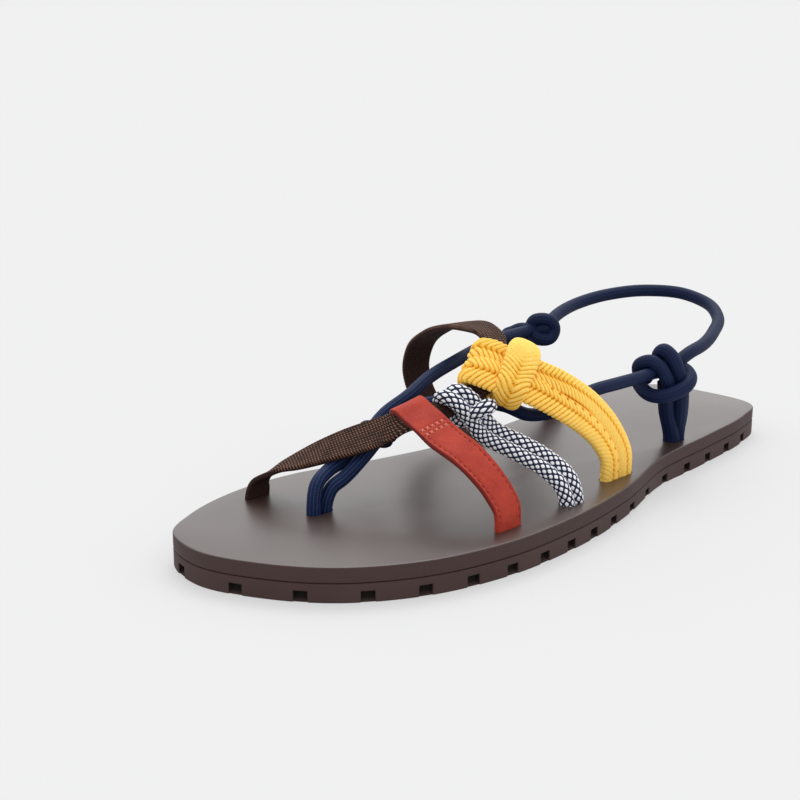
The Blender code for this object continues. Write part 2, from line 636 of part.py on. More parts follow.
def build_heel(parts, cutters, materials):
    # Heel cord standing as a loop, tied at each side to a doubled anchor cord.
    navy = materials["navy"]
    route = smooth_rows(HEEL_ROUTE, HEEL_STEPS)
    shade(add_object("heel_cord", tube_mesh(route, HEEL_CORD_RADIUS), parts, navy))
    for side, label in ((1.0, "lateral"), (-1.0, "medial")):
        centre = KNOT_CENTRES[side]
        legs = anchor_legs(side)
        anchor = add_object("heel_anchor_" + label, tube_mesh(legs[0], ANCHOR_RADIUS), parts, navy)
        second = add_object("leg_" + label, tube_mesh(legs[1], ANCHOR_RADIUS), cutters)
        cut(anchor, as_cutter(second), "UNION")
        shade(anchor)
        angles = np.linspace(0.0, 2 * np.pi, 14, endpoint=False)
        ring = np.stack([KNOT_RING.right * np.cos(angles), KNOT_RING.drop - KNOT_RING.tilt * np.sin(angles),
                         KNOT_RING.front * np.sin(angles)], 1)
        mesh = tube_mesh(knot_points(side, centre, ring), HEEL_CORD_RADIUS, sides=6, closed=True)
        knot = add_object("heel_knot_" + label, mesh, parts, navy)
        for number, table in enumerate(KNOT_TURNS):
            turn = tube_mesh(smooth_rows(knot_points(side, centre, table), 8), HEEL_CORD_RADIUS, sides=6)
            cut(knot, as_cutter(add_object(f"turn_{label}_{number}", turn, cutters)), "UNION")
        toe = toe_route("toe_cord_" + label, side)[-8:]
        heel = route[:5] if side < 0 else route[-5:]
        through = ((toe, CORD_RADIUS), (heel, HEEL_CORD_RADIUS), (legs[0], ANCHOR_RADIUS),
                   (legs[1], ANCHOR_RADIUS))
        for number, (points, radius) in enumerate(through):
            mesh = tube_mesh(longer(points, GAP), radius + GAP)
            cut(knot, as_cutter(add_object(f"bore_{label}_{number}", mesh, cutters)))
        shade(knot)


def main():
    for item in list(bpy.data.objects):
        bpy.data.objects.remove(item)
    parts = bpy.data.collections.new("flat_sandal")
    cutters = bpy.data.collections.new("cutters")
    bpy.context.scene.collection.children.link(parts)
    bpy.context.scene.collection.children.link(cutters)
    materials = {
        "rubber": make_material("outsole_rubber", (0.055, 0.040, 0.038), 0.62),
        "footbed": make_material("footbed_rubber", (0.115, 0.090, 0.082), 0.48),
        "webbing": make_material("brown_webbing", (0.070, 0.040, 0.028), 0.85),
        "leather": make_material("red_leather", (0.42, 0.060, 0.035), 0.55),
        "check": make_material("check_cord", (0.45, 0.46, 0.50), 0.80),
        "braid": make_material("yellow_braid", (0.80, 0.38, 0.035), 0.80),
        "navy": make_material("navy_cord", (0.012, 0.022, 0.070), 0.75),
    }
    build_sole(parts, cutters, materials)
    build_webbing(parts, materials)
    rooms = [webbing_room(cutters)]
    build_leather(parts, rooms[0], materials)
    rooms.append(leather_room(cutters))
    build_check_cord(parts, rooms, materials)
    rooms.append(check_room(cutters))
    build_braid(parts, cutters, (rooms[0], rooms[2]), materials)
    build_toe_cords(parts, materials)
    build_toe_knot(parts, cutters, rooms[0], materials)
    build_heel(parts, cutters, materials)


main()
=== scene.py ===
from types import SimpleNamespace

import bpy
import numpy as np
from mathutils import Matrix


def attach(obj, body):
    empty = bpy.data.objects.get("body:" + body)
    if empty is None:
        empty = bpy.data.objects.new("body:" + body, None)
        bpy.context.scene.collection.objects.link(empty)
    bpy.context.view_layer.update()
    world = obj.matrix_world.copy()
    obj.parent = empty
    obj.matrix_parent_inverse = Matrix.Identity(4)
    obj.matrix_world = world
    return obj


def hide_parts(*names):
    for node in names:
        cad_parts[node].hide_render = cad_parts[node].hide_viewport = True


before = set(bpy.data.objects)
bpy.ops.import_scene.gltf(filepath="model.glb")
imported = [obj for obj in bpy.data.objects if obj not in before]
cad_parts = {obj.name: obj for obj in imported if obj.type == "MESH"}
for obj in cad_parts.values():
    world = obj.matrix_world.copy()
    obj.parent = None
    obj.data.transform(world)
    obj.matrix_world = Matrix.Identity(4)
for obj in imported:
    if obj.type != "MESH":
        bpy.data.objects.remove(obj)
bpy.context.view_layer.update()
mm = 0.001  # tables are in millimetres, meshes in metres
fullTurn, quarterTurn = 2 * np.pi, 0.5 * np.pi
footZ = 7.1  # where straps end inside the footbed
print("frame loaded", len(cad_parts), "solids")


# shapes

def unit(rows):
    # every row divided by its own length
    rows = np.asarray(rows, float)
    return rows / np.linalg.norm(rows, axis=-1, keepdims=True)


def step(low, high, value):
    # 0 below low, 1 above high, an even S between them
    share = np.clip((value - low) / (high - low), 0.0, 1.0)
    return share * share * (3.0 - 2.0 * share)


def bell(value, spot, reach):
    # 1 at the spot, and e to the power of -(distance / reach) squared away from it
    return np.exp(-((value - spot) / reach) ** 2)


def turnsRound(count):
    # even angles once round
    return np.linspace(0.0, fullTurn, count, endpoint=False)


def wrapped(values):
    # every row with its first value again at the end
    return np.concatenate([values, values[..., :1]], -1)


def throughRows(rows, samples, closed=False, fineSteps=8000):
    # cubic through the rows, timed by distance, the slope at a row = mean of both sides weighted by
    # the nearer one; then walked at even steps; gives the rows and the distance walked
    rows = np.asarray(rows, float)
    if closed:
        rows = np.vstack([rows[-2:], rows, rows[:3]])
    steps = np.linalg.norm(np.diff(rows[:, :3], axis=0), axis=1)
    times = np.append(0.0, np.cumsum(steps))
    slopes = np.diff(rows, axis=0) / steps[:, None]
    before, after = steps[:-1, None], steps[1:, None]
    inner = (slopes[:-1] * after + slopes[1:] * before) / (before + after)
    slopesAt = np.vstack([slopes[:1], inner, slopes[-1:]])
    start, end = (times[2], times[-3]) if closed else (0.0, times[-1])
    fine = np.linspace(start, end, fineSteps)
    span = np.clip(np.searchsorted(times, fine, side="right") - 1, 0, len(steps) - 1)
    share = ((fine - times[span]) / steps[span])[:, None]
    reach = steps[span][:, None]
    curve = ((2 * share ** 3 - 3 * share ** 2 + 1) * rows[span]
             + (share ** 3 - 2 * share ** 2 + share) * reach * slopesAt[span]
             + (3 * share ** 2 - 2 * share ** 3) * rows[span + 1]
             + (share ** 3 - share ** 2) * reach * slopesAt[span + 1])
    walked = np.append(0.0, np.cumsum(np.linalg.norm(np.diff(curve[:, :3], axis=0), axis=1)))
    even = np.linspace(0.0, walked[-1], samples + 1 if closed else samples)
    even = even[:-1] if closed else even
    return np.stack([np.interp(even, walked, column) for column in curve.T], 1), even


def bandPath(rows, samples):
    # centre line, directions along, across and out of a flat band, its width, the distance walked
    laid, walked = throughRows(rows, samples)
    centre, lean = laid[:, :3], laid[:, 3:6]
    along = unit(np.gradient(centre, axis=0))
    across = unit(lean - along * np.sum(lean * along, axis=1, keepdims=True))
    return SimpleNamespace(centre=centre, along=along, across=across, out=np.cross(along, across),
                           width=laid[:, 6], walked=walked)


def cordPath(rows, samples, closed=False):
    # centre line with a side direction carried along it without twist, and the distance walked
    laid, walked = throughRows(rows, samples, closed)
    centre = laid[:, :3]
    if closed:
        ends = np.vstack([centre[-1:], centre, centre[:1]])
        along = unit(np.gradient(ends, axis=0)[1:-1])
    else:
        along = unit(np.gradient(centre, axis=0))
    side = np.zeros_like(centre)
    side[0] = unit(np.cross(along[0], np.eye(3)[np.argmin(np.abs(along[0]))]))
    for k in range(1, len(centre)):  # one step per station
        side[k] = unit(side[k - 1] - along[k] * np.dot(side[k - 1], along[k]))
    if closed:  # the leftover turn is spread over the loop
        back = side[-1] - along[0] * np.dot(side[-1], along[0])
        turn = np.arctan2(np.dot(np.cross(back, side[0]), along[0]), np.dot(back, side[0]))
        angle = turn * np.linspace(0.0, 1.0, len(centre))[:, None]
        side = side * np.cos(angle) + np.cross(along, side) * np.sin(angle)
    return SimpleNamespace(centre=centre, along=along, across=side, out=np.cross(along, side),
                           walked=walked, extra=laid[:, 3:])


def carried(path, across, height):
    # points of a profile carried along a path: centre + across x side + height x out
    return (path.centre[:, None] + across[..., None] * path.across[:, None]
            + height[..., None] * path.out[:, None])


def skin(grid, along, around=None, closed=False, raised=None):
    # quads over a grid of closed rings, a face over each open end, turned so that the volume is
    # positive; the map is along for a ring, and around or the share of the turn for a spot on it
    rings, count = grid.shape[:2]
    points = grid.reshape(-1, 3)
    i, j = np.meshgrid(np.arange(rings if closed else rings - 1), np.arange(count), indexing="ij")
    ringAt = np.stack([i, i, i + 1, i + 1], -1).reshape(-1, 4)
    spotAt = np.stack([j, j + 1, j + 1, j], -1).reshape(-1, 4)
    quads = ringAt % rings * count + spotAt % count
    caps = [] if closed else [np.arange(count)[::-1], np.arange(count) + (rings - 1) * count]
    along = np.append(along, 2 * along[-1] - along[-2])
    around = np.linspace(0.0, 1.0, count + 1) if around is None else around
    around = np.broadcast_to(around, (rings, count + 1))
    uv = np.stack([along[ringAt], around[ringAt[:, :1], spotAt]], -1)
    corners = points[quads] - points.mean(0)
    volume = np.sum(np.cross(corners[:, 0], corners[:, 1]) * corners[:, 2])
    volume += np.sum(np.cross(corners[:, 0], corners[:, 2]) * corners[:, 3])
    if volume < 0:
        quads, uv, caps = quads[:, ::-1], uv[:, ::-1], [cap[::-1] for cap in caps]
    capUv = [np.stack([np.full(count, along[ring]), np.zeros(count)], 1)
             for ring, cap in zip((0, rings - 1), caps)]
    uv = np.concatenate([uv.reshape(-1, 2)] + capUv)
    raised = np.zeros(len(points)) if raised is None else raised.reshape(-1)
    return SimpleNamespace(points=points, quads=quads, caps=caps, uv=uv, raised=raised)


def joinSkins(name, skins):
    # one mesh of several skins, where each skin's point numbers start after those before it
    offsets = np.cumsum([0] + [len(part.points) for part in skins])
    faces = []
    for part, offset in zip(skins, offsets):
        faces += (part.quads + offset).tolist()
        faces += [(cap + offset).tolist() for cap in part.caps]
    mesh = bpy.data.meshes.new(name)
    mesh.from_pydata(np.concatenate([part.points for part in skins]) * mm, [], faces)
    return mesh


def addObject(name, data):
    # linked at the origin, unturned
    made = bpy.data.objects.new(name, data)
    bpy.context.scene.collection.objects.link(made)
    return made


def makePiece(name, skins, material, stands=None, sharp=None):
    # one piece from several skins, with their map "lay" and their mark "raised", 0 to 1
    mesh = joinSkins(name, skins)
    lay = mesh.uv_layers.new(name="lay")
    lay.uv.foreach_set("vector", np.concatenate([part.uv for part in skins]).astype("f").ravel())
    raised = mesh.attributes.new("raised", "FLOAT", "POINT")
    raised.data.foreach_set("value", np.concatenate([part.raised for part in skins]).astype("f"))
    mesh.shade_smooth()
    if sharp:
        mesh.set_sharp_from_angle(angle=sharp)
    mesh.materials.append(material)
    piece = addObject(name, mesh)
    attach(piece, "root")
    if stands:
        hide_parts(stands)
    print(name, len(mesh.vertices), "points")
    return piece


def bandProfile(flat, bend):
    # round-cornered rectangle walked once: share of the core across, angle that it faces, and side
    # (1 outer, -1 inner); the points where a line and a corner meet are kept once
    line = np.linspace(-1.0, 1.0, flat)
    turn = np.linspace(0.0, quarterTurn, bend + 1)
    core = np.concatenate([line, np.ones(2 * bend + 2), -line, -np.ones(2 * bend + 2)])
    angle = np.concatenate([np.full(flat, quarterTurn), quarterTurn - turn, -turn,
                            np.full(flat, -quarterTurn), -quarterTurn - turn, -np.pi - turn])
    side = np.repeat([1.0, -1.0, 1.0], [flat + bend + 1, flat + 2 * bend + 2, bend + 1])
    keep = np.ones(len(core), bool)
    keep[[flat, flat + 2 * bend + 1, 2 * flat + 2 * bend + 1, 2 * flat + 4 * bend + 3]] = False
    return core[keep], angle[keep], side[keep]


def bandGrid(path, band, relief):
    # across = core x (half width - corner) + corner cos, height = side x (half thick - corner)
    # + corner sin, and relief added in the direction that the profile faces
    core, angle, side = bandProfile(band["flat"], band["bend"])
    corner = band["corner"]
    across = core * (0.5 * path.width[:, None] - corner) + corner * np.cos(angle)
    height = side * (0.5 * band["thick"] - corner) + corner * np.sin(angle)
    lift = relief(path.walked[:, None], across)
    return carried(path, across + lift * np.cos(angle), height + lift * np.sin(angle)), across, side


def cordGrid(path, radius, count, relief):
    # radius + relief round the path, at even angles
    turn = turnsRound(count)[None]
    reach = np.reshape(radius, (-1, 1)) + relief(path.walked[:, None], turn / fullTurn)
    return carried(path, reach * np.cos(turn), reach * np.sin(turn))


def holdFrame(hold):
    # spot, direction along the webbing, across it and out of the shoe
    along = unit(hold["along"])
    across = np.asarray(hold["across"], float)
    across = unit(across - along * np.dot(across, along))
    return np.asarray(hold["spot"], float), along, across, -np.cross(along, across)


def inHold(hold, along, across, out):
    # the hold's spot, moved by a distance in each of its three directions
    spot, alongWay, acrossWay, outWay = hold
    return spot + alongWay * along + acrossWay * across + outWay * out


# shading

def tone(red, green, blue):
    # screen colour 0-255 to linear light
    share = np.array([red, green, blue]) / 255.0
    linear = np.where(share <= 0.04045, share / 12.92, ((share + 0.055) / 1.055) ** 2.4)
    return (*[float(value) for value in linear], 1.0)


class Wire:
    # a shader socket that takes part in Python sums, each operator adds one Math node

    def __init__(self, tree, socket=None):
        self.tree, self.socket = tree, socket

    def node(self, kind, setup=None, links=None, out=0):
        made = self.tree.nodes.new("ShaderNode" + kind)
        for key, value in (setup or {}).items():
            setattr(made, key, value)
        for key, value in (links or {}).items():
            if isinstance(value, Wire):
                self.tree.links.new(value.socket, made.inputs[key])
            else:
                made.inputs[key].default_value = value
        return Wire(self.tree, made.outputs[out])

    def math(self, operation, *values):
        return self.node("Math", {"operation": operation}, dict(enumerate(values)))

    def __add__(self, other):
        return self.math("ADD", self, other)

    def __sub__(self, other):
        return self.math("SUBTRACT", self, other)

    def __rsub__(self, other):
        return self.math("SUBTRACT", other, self)

    def __mul__(self, other):
        return self.math("MULTIPLY", self, other)

    def __truediv__(self, other):
        return self.math("DIVIDE", self, other)

    def __rtruediv__(self, other):
        return self.math("DIVIDE", other, self)

    __radd__, __rmul__ = __add__, __mul__

    def __abs__(self):
        return self.math("ABSOLUTE", self)

    def fract(self):
        return self.math("FRACT", self)

    def rise(self, low, high):
        # 0 at low, 1 at high, smooth between
        return self.node("MapRange", {"interpolation_type": "SMOOTHSTEP"},
                         {"Value": self, "From Min": low, "From Max": high})

    def mix(self, first, second):
        # colour first where this is 0, second where it is 1
        return self.node("Mix", {"data_type": "RGBA"}, {0: self, 6: first, 7: second}, 2)


def startMaterial(name, roughness, specular, **more):
    # material with its shader, and wires for noise, the piece's own map and its mark
    material = bpy.data.materials.new(name)
    material.use_nodes = True
    tree = material.node_tree
    shader = tree.nodes["Principled BSDF"]
    for key, value in dict(more, Roughness=roughness, Specular_IOR_Level=specular).items():
        shader.inputs[key.replace("_", " ")].default_value = value
    blank = Wire(tree)
    place = blank.node("TexCoord", out=3)
    lay = blank.node("UVMap", {"uv_map": "lay"})
    split = blank.node("SeparateXYZ", links={0: lay})
    around = Wire(tree, split.socket.node.outputs[1])

    def noise(scale, detail=3.0, rough=0.55):
        return place.node("TexNoise", links={"Vector": place, "Scale": scale, "Detail": detail,
                                             "Roughness": rough})

    def finish(colour, height=None, strength=0.4, distance=0.0003, rough=None, coat=None):
        for key, wire in (("Base Color", colour), ("Roughness", rough), ("Coat Weight", coat)):
            if wire is not None:
                tree.links.new(wire.socket, shader.inputs[key])
        if height is not None:
            bump = height.node("Bump", links={"Strength": strength, "Distance": distance,
                                              "Height": height})
            tree.links.new(bump.socket, shader.inputs["Normal"])
        return material

    return SimpleNamespace(along=split, around=around, noise=noise, finish=finish,
                           raised=blank.node("Attribute", {"attribute_name": "raised"}, out=2))


# sole

sole = dict(
    length=285, top=12, seam=6.5, toeX=-15.9, heelX=-5.1, rimSamples=2400,
    # share of the length from the toe, lateral and medial half width
    stations=[(0.025, 7.7, 36.9), (0.07, 26.8, 44.7), (0.15, 43.1, 52), (0.26, 52.1, 52.6),
              (0.38, 52.9, 42.9), (0.52, 47.4, 36), (0.66, 36.2, 37.9), (0.80, 32.3, 41.3),
              (0.92, 27.6, 39.1), (0.98, 21.6, 31.1)],
    notches=36, notchWide=4.5, notchHigh=3.8, notchDeep=2.4, notchClear=1, wallSteps=18,
    # those in the photo, as distances round the edge from the toe tip; the rest are spread evenly
    notchAt=(-10.1, 15.5, 37.5, 59, 78, 95.5, 112, 128, 143.2, 158, 173, 189.5, 208,
             227.5, 246.5, 264, 281.2, 298.6),
    archRise=0.9, archFrom=-12, archTo=62, topRound=0.6, topSteps=7, footbedSteps=720,
)
rubber = dict(
    # the outsole's marked tone is painted shade: near-black inside the notches, where the recess is
    # in shade
    outsole=dict(dark=tone(60, 42, 40), light=tone(70, 51, 48), marked=tone(12, 9, 8),
                 roughness=0.66, dull=1, coat=0),
    footbed=dict(dark=tone(55, 40, 36), light=tone(64, 48, 43), marked=tone(63, 45, 43),
                 roughness=0.35, dull=0.66, coat=0.44),
)
slots = dict(
    gap=0.12, around=48, heights=(8, 15),
    # x, y, length, breadth
    at=[(-42.1, -93.6, 10.4, 1.7), (-27.1, 8.5, 12, 1.7), (43.4, -57.4, 12.2, 2),
        (36.9, 13.2, 17.8, 4.4), (42.9, -22, 10.8, 5.6), (-14.1, -89.5, 10.6, 5),
        (25.9, 68.3, 10, 6.7), (-35.1, 69.5, 10, 6.7)],
)


def rubberMaterial(name, dark, light, marked, roughness, dull, coat):
    # satin rubber: colour drifts by broad noise, fine grain in bump and gloss; where the mark is 1
    # it takes the marked colour, dulls and loses its coat. On the outsole the marked colour is
    # near-black painted shade inside the notches; on the footbed it is the side's own colour
    m = startMaterial(name, roughness, 0.3, Coat_Roughness=0.34)
    cloud = m.noise(22).rise(0.3, 0.7)
    grain = m.noise(2600, 2)
    colour = (0.8 * cloud + 0.2 * m.noise(900, 1).rise(0.6, 0.8)).mix(dark, light)
    colour = m.raised.mix(colour, marked)
    rough = roughness - 0.04 + 0.08 * m.noise(60) + (dull - roughness) * m.raised
    gloss = coat * (1.0 - m.raised.rise(0.0, 0.25)) if coat else None
    return m.finish(colour, grain, 0.08, 0.0001, rough, gloss)


def soleOutline(samples):
    # closed cubic through toe tip, lateral half widths, heel tip and medial half widths
    shares, lateral, medial = np.array(sole["stations"]).T
    y = (shares - 0.5) * sole["length"]
    flat = np.zeros_like(y)
    loop = np.vstack([[sole["toeX"], -0.5 * sole["length"], 0.0], np.stack([lateral, y, flat], 1),
                      [sole["heelX"], 0.5 * sole["length"], 0.0],
                      np.stack([-medial, y, flat], 1)[::-1]])
    laid, walked = throughRows(loop, samples, closed=True)
    return laid[:, :2], walked


rim, rimAt = soleOutline(sole["rimSamples"])
rimLength = rimAt[-1] + rimAt[1]


def outlineAt(places, near=0.8):
    # points of the outline at given distances round it, and inward directions from points near them
    def at(where):
        where, known = where % rimLength, np.append(rimAt, rimLength)
        return np.stack([np.interp(where, known, column) for column in wrapped(rim.T)], 1)
    along = unit(at(places + near) - at(places - near))
    return at(places), np.stack([-along[:, 1], along[:, 0]], 1)


def wallGrid(places, heights, inward):
    # wall of the sole: outline moved inwards by a given depth at each height
    spots, inside = outlineAt(places)
    flat = spots + inside * inward[..., None]
    return np.concatenate([flat, np.broadcast_to(heights[..., None], flat.shape[:2] + (1,))], -1)


def makeOutsole():
    # plain wall with a chamfer at floor and seam, pushed in by the notch's depth where a notch is,
    # softly pulled in round it, and lifted off the floor along the arch by a cosine
    half, high, seam = 0.5 * sole["notchWide"], sole["notchHigh"], sole["seam"]
    seen = np.array(sole["notchAt"])
    hidden = np.linspace(seen[-1], seen[0] + rimLength, sole["notches"] - len(seen) + 2)[1:-1]
    notchAt = np.append(seen, hidden)
    clear = half + sole["notchClear"]
    gaps = np.diff(np.append(notchAt, notchAt[0] + rimLength)) - 2.0 * clear
    lip = half + np.array([0.35, 0.12, 0.03, -0.03])
    close = np.concatenate([-lip, np.linspace(-half + 0.6, half - 0.6, 5), lip[::-1]])
    between = clear + gaps[:, None] * np.linspace(0.0, 1.0, sole["wallSteps"])
    offsets = np.hstack([np.tile(close, (len(notchAt), 1)), between])
    places, aside = (notchAt[:, None] + offsets).ravel(), np.abs(offsets).ravel()
    # height, and how far the plain wall stands in there
    levels, edge = np.array([
        (0, 0.45), (0.12, 0.12), (0.45, 0), (1.4, 0), (high - 0.4, 0), (high - 0.05, 0),
        (high + 0.03, 0), (high + 0.12, 0), (high + 0.4, 0), (5, 0), (seam - 0.45, 0),
        (seam - 0.1, 0.1), (seam + 0.08, 0.42)]).T
    inNotch = 1.0 - step(half - 0.03, half + 0.03, aside)
    nearNotch = 1.0 - step(half, half + 0.35, aside)
    notchShadeMask = 1.0 - step(half + 0.03, half + 0.12, aside)
    nearRows = 1.0 - step(high, high + 0.4, levels)
    slant = 0.22 + 0.78 * step(0.1, 1.8, levels)  # the back of a notch leans out to the floor
    inward = edge[:, None] + 0.3 * nearNotch * nearRows[:, None] ** 2
    inward = np.maximum(inward, sole["notchDeep"] * inNotch * (slant * (levels < high))[:, None])
    # painted shade: the back and sides of each notch are marked up to 0.95, which turns them
    # near-black in the rubber, less so near the floor
    dark = 0.95 * notchShadeMask * (slant * (levels < high + 0.05))[:, None]
    middle = 0.5 * (sole["archFrom"] + sole["archTo"])
    reach = 0.5 * (sole["archTo"] - sole["archFrom"])
    fromMiddle = np.clip((outlineAt(places)[0][:, 1] - middle) / reach, -1.0, 1.0)
    arch = sole["archRise"] * np.cos(quarterTurn * fromMiddle)
    heights = levels[:, None] + arch * np.clip(1.0 - levels[:, None] / high, 0.0, 1.0)
    slab = skin(wallGrid(places, heights, inward), levels, wrapped(places), raised=dark)
    makePiece("outsoleSlab", [slab], rubberMaterial("outsoleRubber", **rubber["outsole"]),
              "outsole", sharp=0.7)


def cutSlots(piece):
    # plugs with half-round ends, as wide as the strap and a little more, taken out of the footbed
    turn = turnsRound(slots["around"])
    plugs = []
    for slotX, slotY, length, breadth in slots["at"]:
        radius = 0.5 * breadth + slots["gap"]
        straight = 0.5 * length + slots["gap"] - radius
        flat = np.stack([slotX + radius * np.cos(turn),
                         slotY + radius * np.sin(turn) + np.sign(np.sin(turn)) * straight], 1)
        grid = np.stack([np.c_[flat, np.full(len(turn), height)] for height in slots["heights"]])
        plugs.append(skin(grid, np.array(slots["heights"])))
    cutter = addObject("slotPlugs", joinSkins("slotPlugs", plugs))
    knife = piece.modifiers.new("slots", "BOOLEAN")
    knife.operation, knife.object, knife.solver = "DIFFERENCE", cutter, "EXACT"
    graph = bpy.context.evaluated_depsgraph_get()
    cutMesh = bpy.data.meshes.new_from_object(piece.evaluated_get(graph))
    piece.modifiers.remove(knife)
    piece.data = cutMesh
    bpy.data.objects.remove(cutter)


def makeFootbed():
    # chamfer above the seam, straight wall, top edge rounded by a quarter circle; side marked
    soft, top = sole["topRound"], sole["top"]
    turn = np.linspace(0.0, quarterTurn, sole["topSteps"])
    levels = sole["seam"] + np.array([0.22, 0.4, 0.7, 2.5])
    levels = np.append(levels, top - soft + soft * np.sin(turn))
    edge = np.append([0.4, 0.1, 0.0, 0.0], soft - soft * np.cos(turn))
    places = np.linspace(0.0, rimLength, sole["footbedSteps"], endpoint=False)
    sideTone = np.repeat(1.0 - step(top - 0.5, top - 0.05, levels), len(places))
    wall = wallGrid(places, levels[:, None], edge[:, None])
    footbed = makePiece("footbedSlab", [skin(wall, levels, wrapped(places), raised=sideTone)],
                        rubberMaterial("footbedRubber", **rubber["footbed"]),
                        "footbed", sharp=0.6)
    cutSlots(footbed)


makeOutsole()
makeFootbed()
print("sole and its slots done")


# where straps hold the webbing: directions, reach before and after, its shift and width there

holds = dict(
    leather=dict(spot=(3.1, -58.7, 42.6), along=(0.356, 0.917, 0.177),
                 across=(0.876, -0.262, -0.403), before=6.8, after=6.8, shift=0, width=9.5),
    check=dict(spot=(5.5, -42, 44.5), along=(0.21, 0.93, 0.29), across=(0.62, 0.11, -0.78),
               before=5.5, after=5, shift=0, width=6.4),
    braid=dict(spot=(10, -23.4, 53), along=(-0.25, 0.79, 0.56), across=(0.763, 0.517, -0.388),
               before=9, after=9, shift=-4, width=7),
)


# brown webbing, rows of a flat band: x, y, z, direction across, width

webbing = dict(
    thick=1.7, corner=0.7, samples=620, flat=72, bend=4,
    row=1.45, rowHigh=0.08, edgeHigh=0.12, edgeFrom=5.2, edgeTo=6.2, fleckPitch=1.12, threads=5.2,
    tones=dict(dark=tone(32, 19, 16), light=tone(48, 31, 27), back=tone(50, 31, 27),
               fleck=tone(142, 103, 83)),
    # the y span and strength of painted shade that fades the flecks between the hitches
    wovenFrom=(13, 18), shadeFrom=(-58, -54), shadeTo=(-18, -15), shadeDepth=0.7,
    toe=[(-42.1, -93.6, footZ, 0, 1, 0, 10.4), (-42.1, -93.6, 12.5, 0, 1, 0, 10.4),
         (-41.6, -92.6, 17, -0.15, 0.98, 0, 10.8), (-37.7, -88.2, 21.8, -0.54, 0.84, -0.05, 12),
         (-30.5, -82.4, 25.9, -0.58, 0.78, 0.18, 13.6), (-18, -74.6, 32.2, -0.62, 0.67, 0.41, 14),
         (-5.7, -67.4, 37.9, -0.70, 0.54, 0.45, 12.8)],
    waist=[(-1.7, -13.6, 63.6, -0.42, -0.85, 0.20, 11), (-11.5, -10.2, 65, -0.30, -0.95, 0, 13),
           (-25, -7, 63.2, -0.25, -0.97, 0, 13), (-38, -3.8, 58.5, -0.20, -0.98, 0, 13),
           (-48.6, -1.4, 50.5, -0.15, -0.98, 0, 13), (-51.8, -0.6, 41.5, -0.10, -1, 0, 13),
           (-49.2, 1, 30, -0.05, -1, 0, 12.8), (-38.2, 6.2, 19, 0, -1, 0, 12.4),
           (-28.4, 8.4, 14.4, 0, -1, 0, 12), (-27.1, 8.5, 12, 0, -1, 0, 12),
           (-27.1, 8.5, footZ, 0, -1, 0, 12)],
)


def webbingMaterial():
    # dark twill: slanted tan flecks in lengthwise rows, only on the marked outer face; where the
    # mark is lowered between the hitches the flecks fade, as painted shade
    m, tones = startMaterial("brownWebbing", 0.85, 0.2), webbing["tones"]
    row = m.around / webbing["row"]
    inRow = abs(row.fract() - 0.5)
    lane = row.math("FLOOR", row)
    slant = (m.along / webbing["fleckPitch"] + row.fract() * 0.85 + lane * 0.41).fract()
    fleck = (1.0 - abs(slant - 0.5).rise(0.10, 0.22)) * (1.0 - inRow.rise(0.26, 0.44))
    wearAndShade = m.noise(220).rise(0.32, 0.6)
    thread = (m.around * webbing["threads"]).fract()
    base = m.noise(300).mix(tones["dark"], tones["light"])
    colour = m.raised.mix(tones["back"], base)
    colour = (fleck * (0.4 + 0.6 * wearAndShade) * m.raised).mix(colour, tones["fleck"])
    height = fleck * 0.8 + abs(thread - 0.5) * 0.35 + (1.0 - inRow.rise(0.34, 0.5)) * 0.5
    return m.finish(colour, height, 0.5, 0.0004)


def webbingRows():
    # from the big toe's slot through the three holds to the waist's slot
    rows = list(webbing["toe"])
    for hold in (holds["leather"], holds["check"], holds["braid"]):
        spot = holdFrame(hold)
        rows += [(*inHold(spot, reach, hold["shift"], 0.0), *(-spot[2]), hold["width"])
                 for reach in (-hold["before"], 0.0, hold["after"])]
    return rows + webbing["waist"]


def webbingRelief(along, across):
    # lengthwise rows stand up by a cosine across the band, a little more at the woven edges
    row = 1.0 + np.cos(fullTurn * (across / webbing["row"] - 0.5))
    edge = step(webbing["edgeFrom"], webbing["edgeTo"], np.abs(across))
    return webbing["rowHigh"] * row + webbing["edgeHigh"] * edge


path = bandPath(webbingRows(), webbing["samples"])
grid, across, side = bandGrid(path, webbing, webbingRelief)
far, y = path.walked[:, None], path.centre[:, 1:2]
woven = 0.5 * (side + 1.0) * step(*webbing["wovenFrom"], far)  # the back is plain up to the twist
# painted shade: between the hitches the mark is lowered, so the flecks fade where the straps shade
# the webbing
wearAndShade = step(*webbing["shadeFrom"], y) * (1.0 - step(*webbing["shadeTo"], y))  # between the hitches
band = skin(grid, path.walked, wrapped(across), raised=woven * (1.0 - webbing["shadeDepth"] * wearAndShade))
makePiece("webbingBand", [band], webbingMaterial(), "webbing_strap")


# red leather

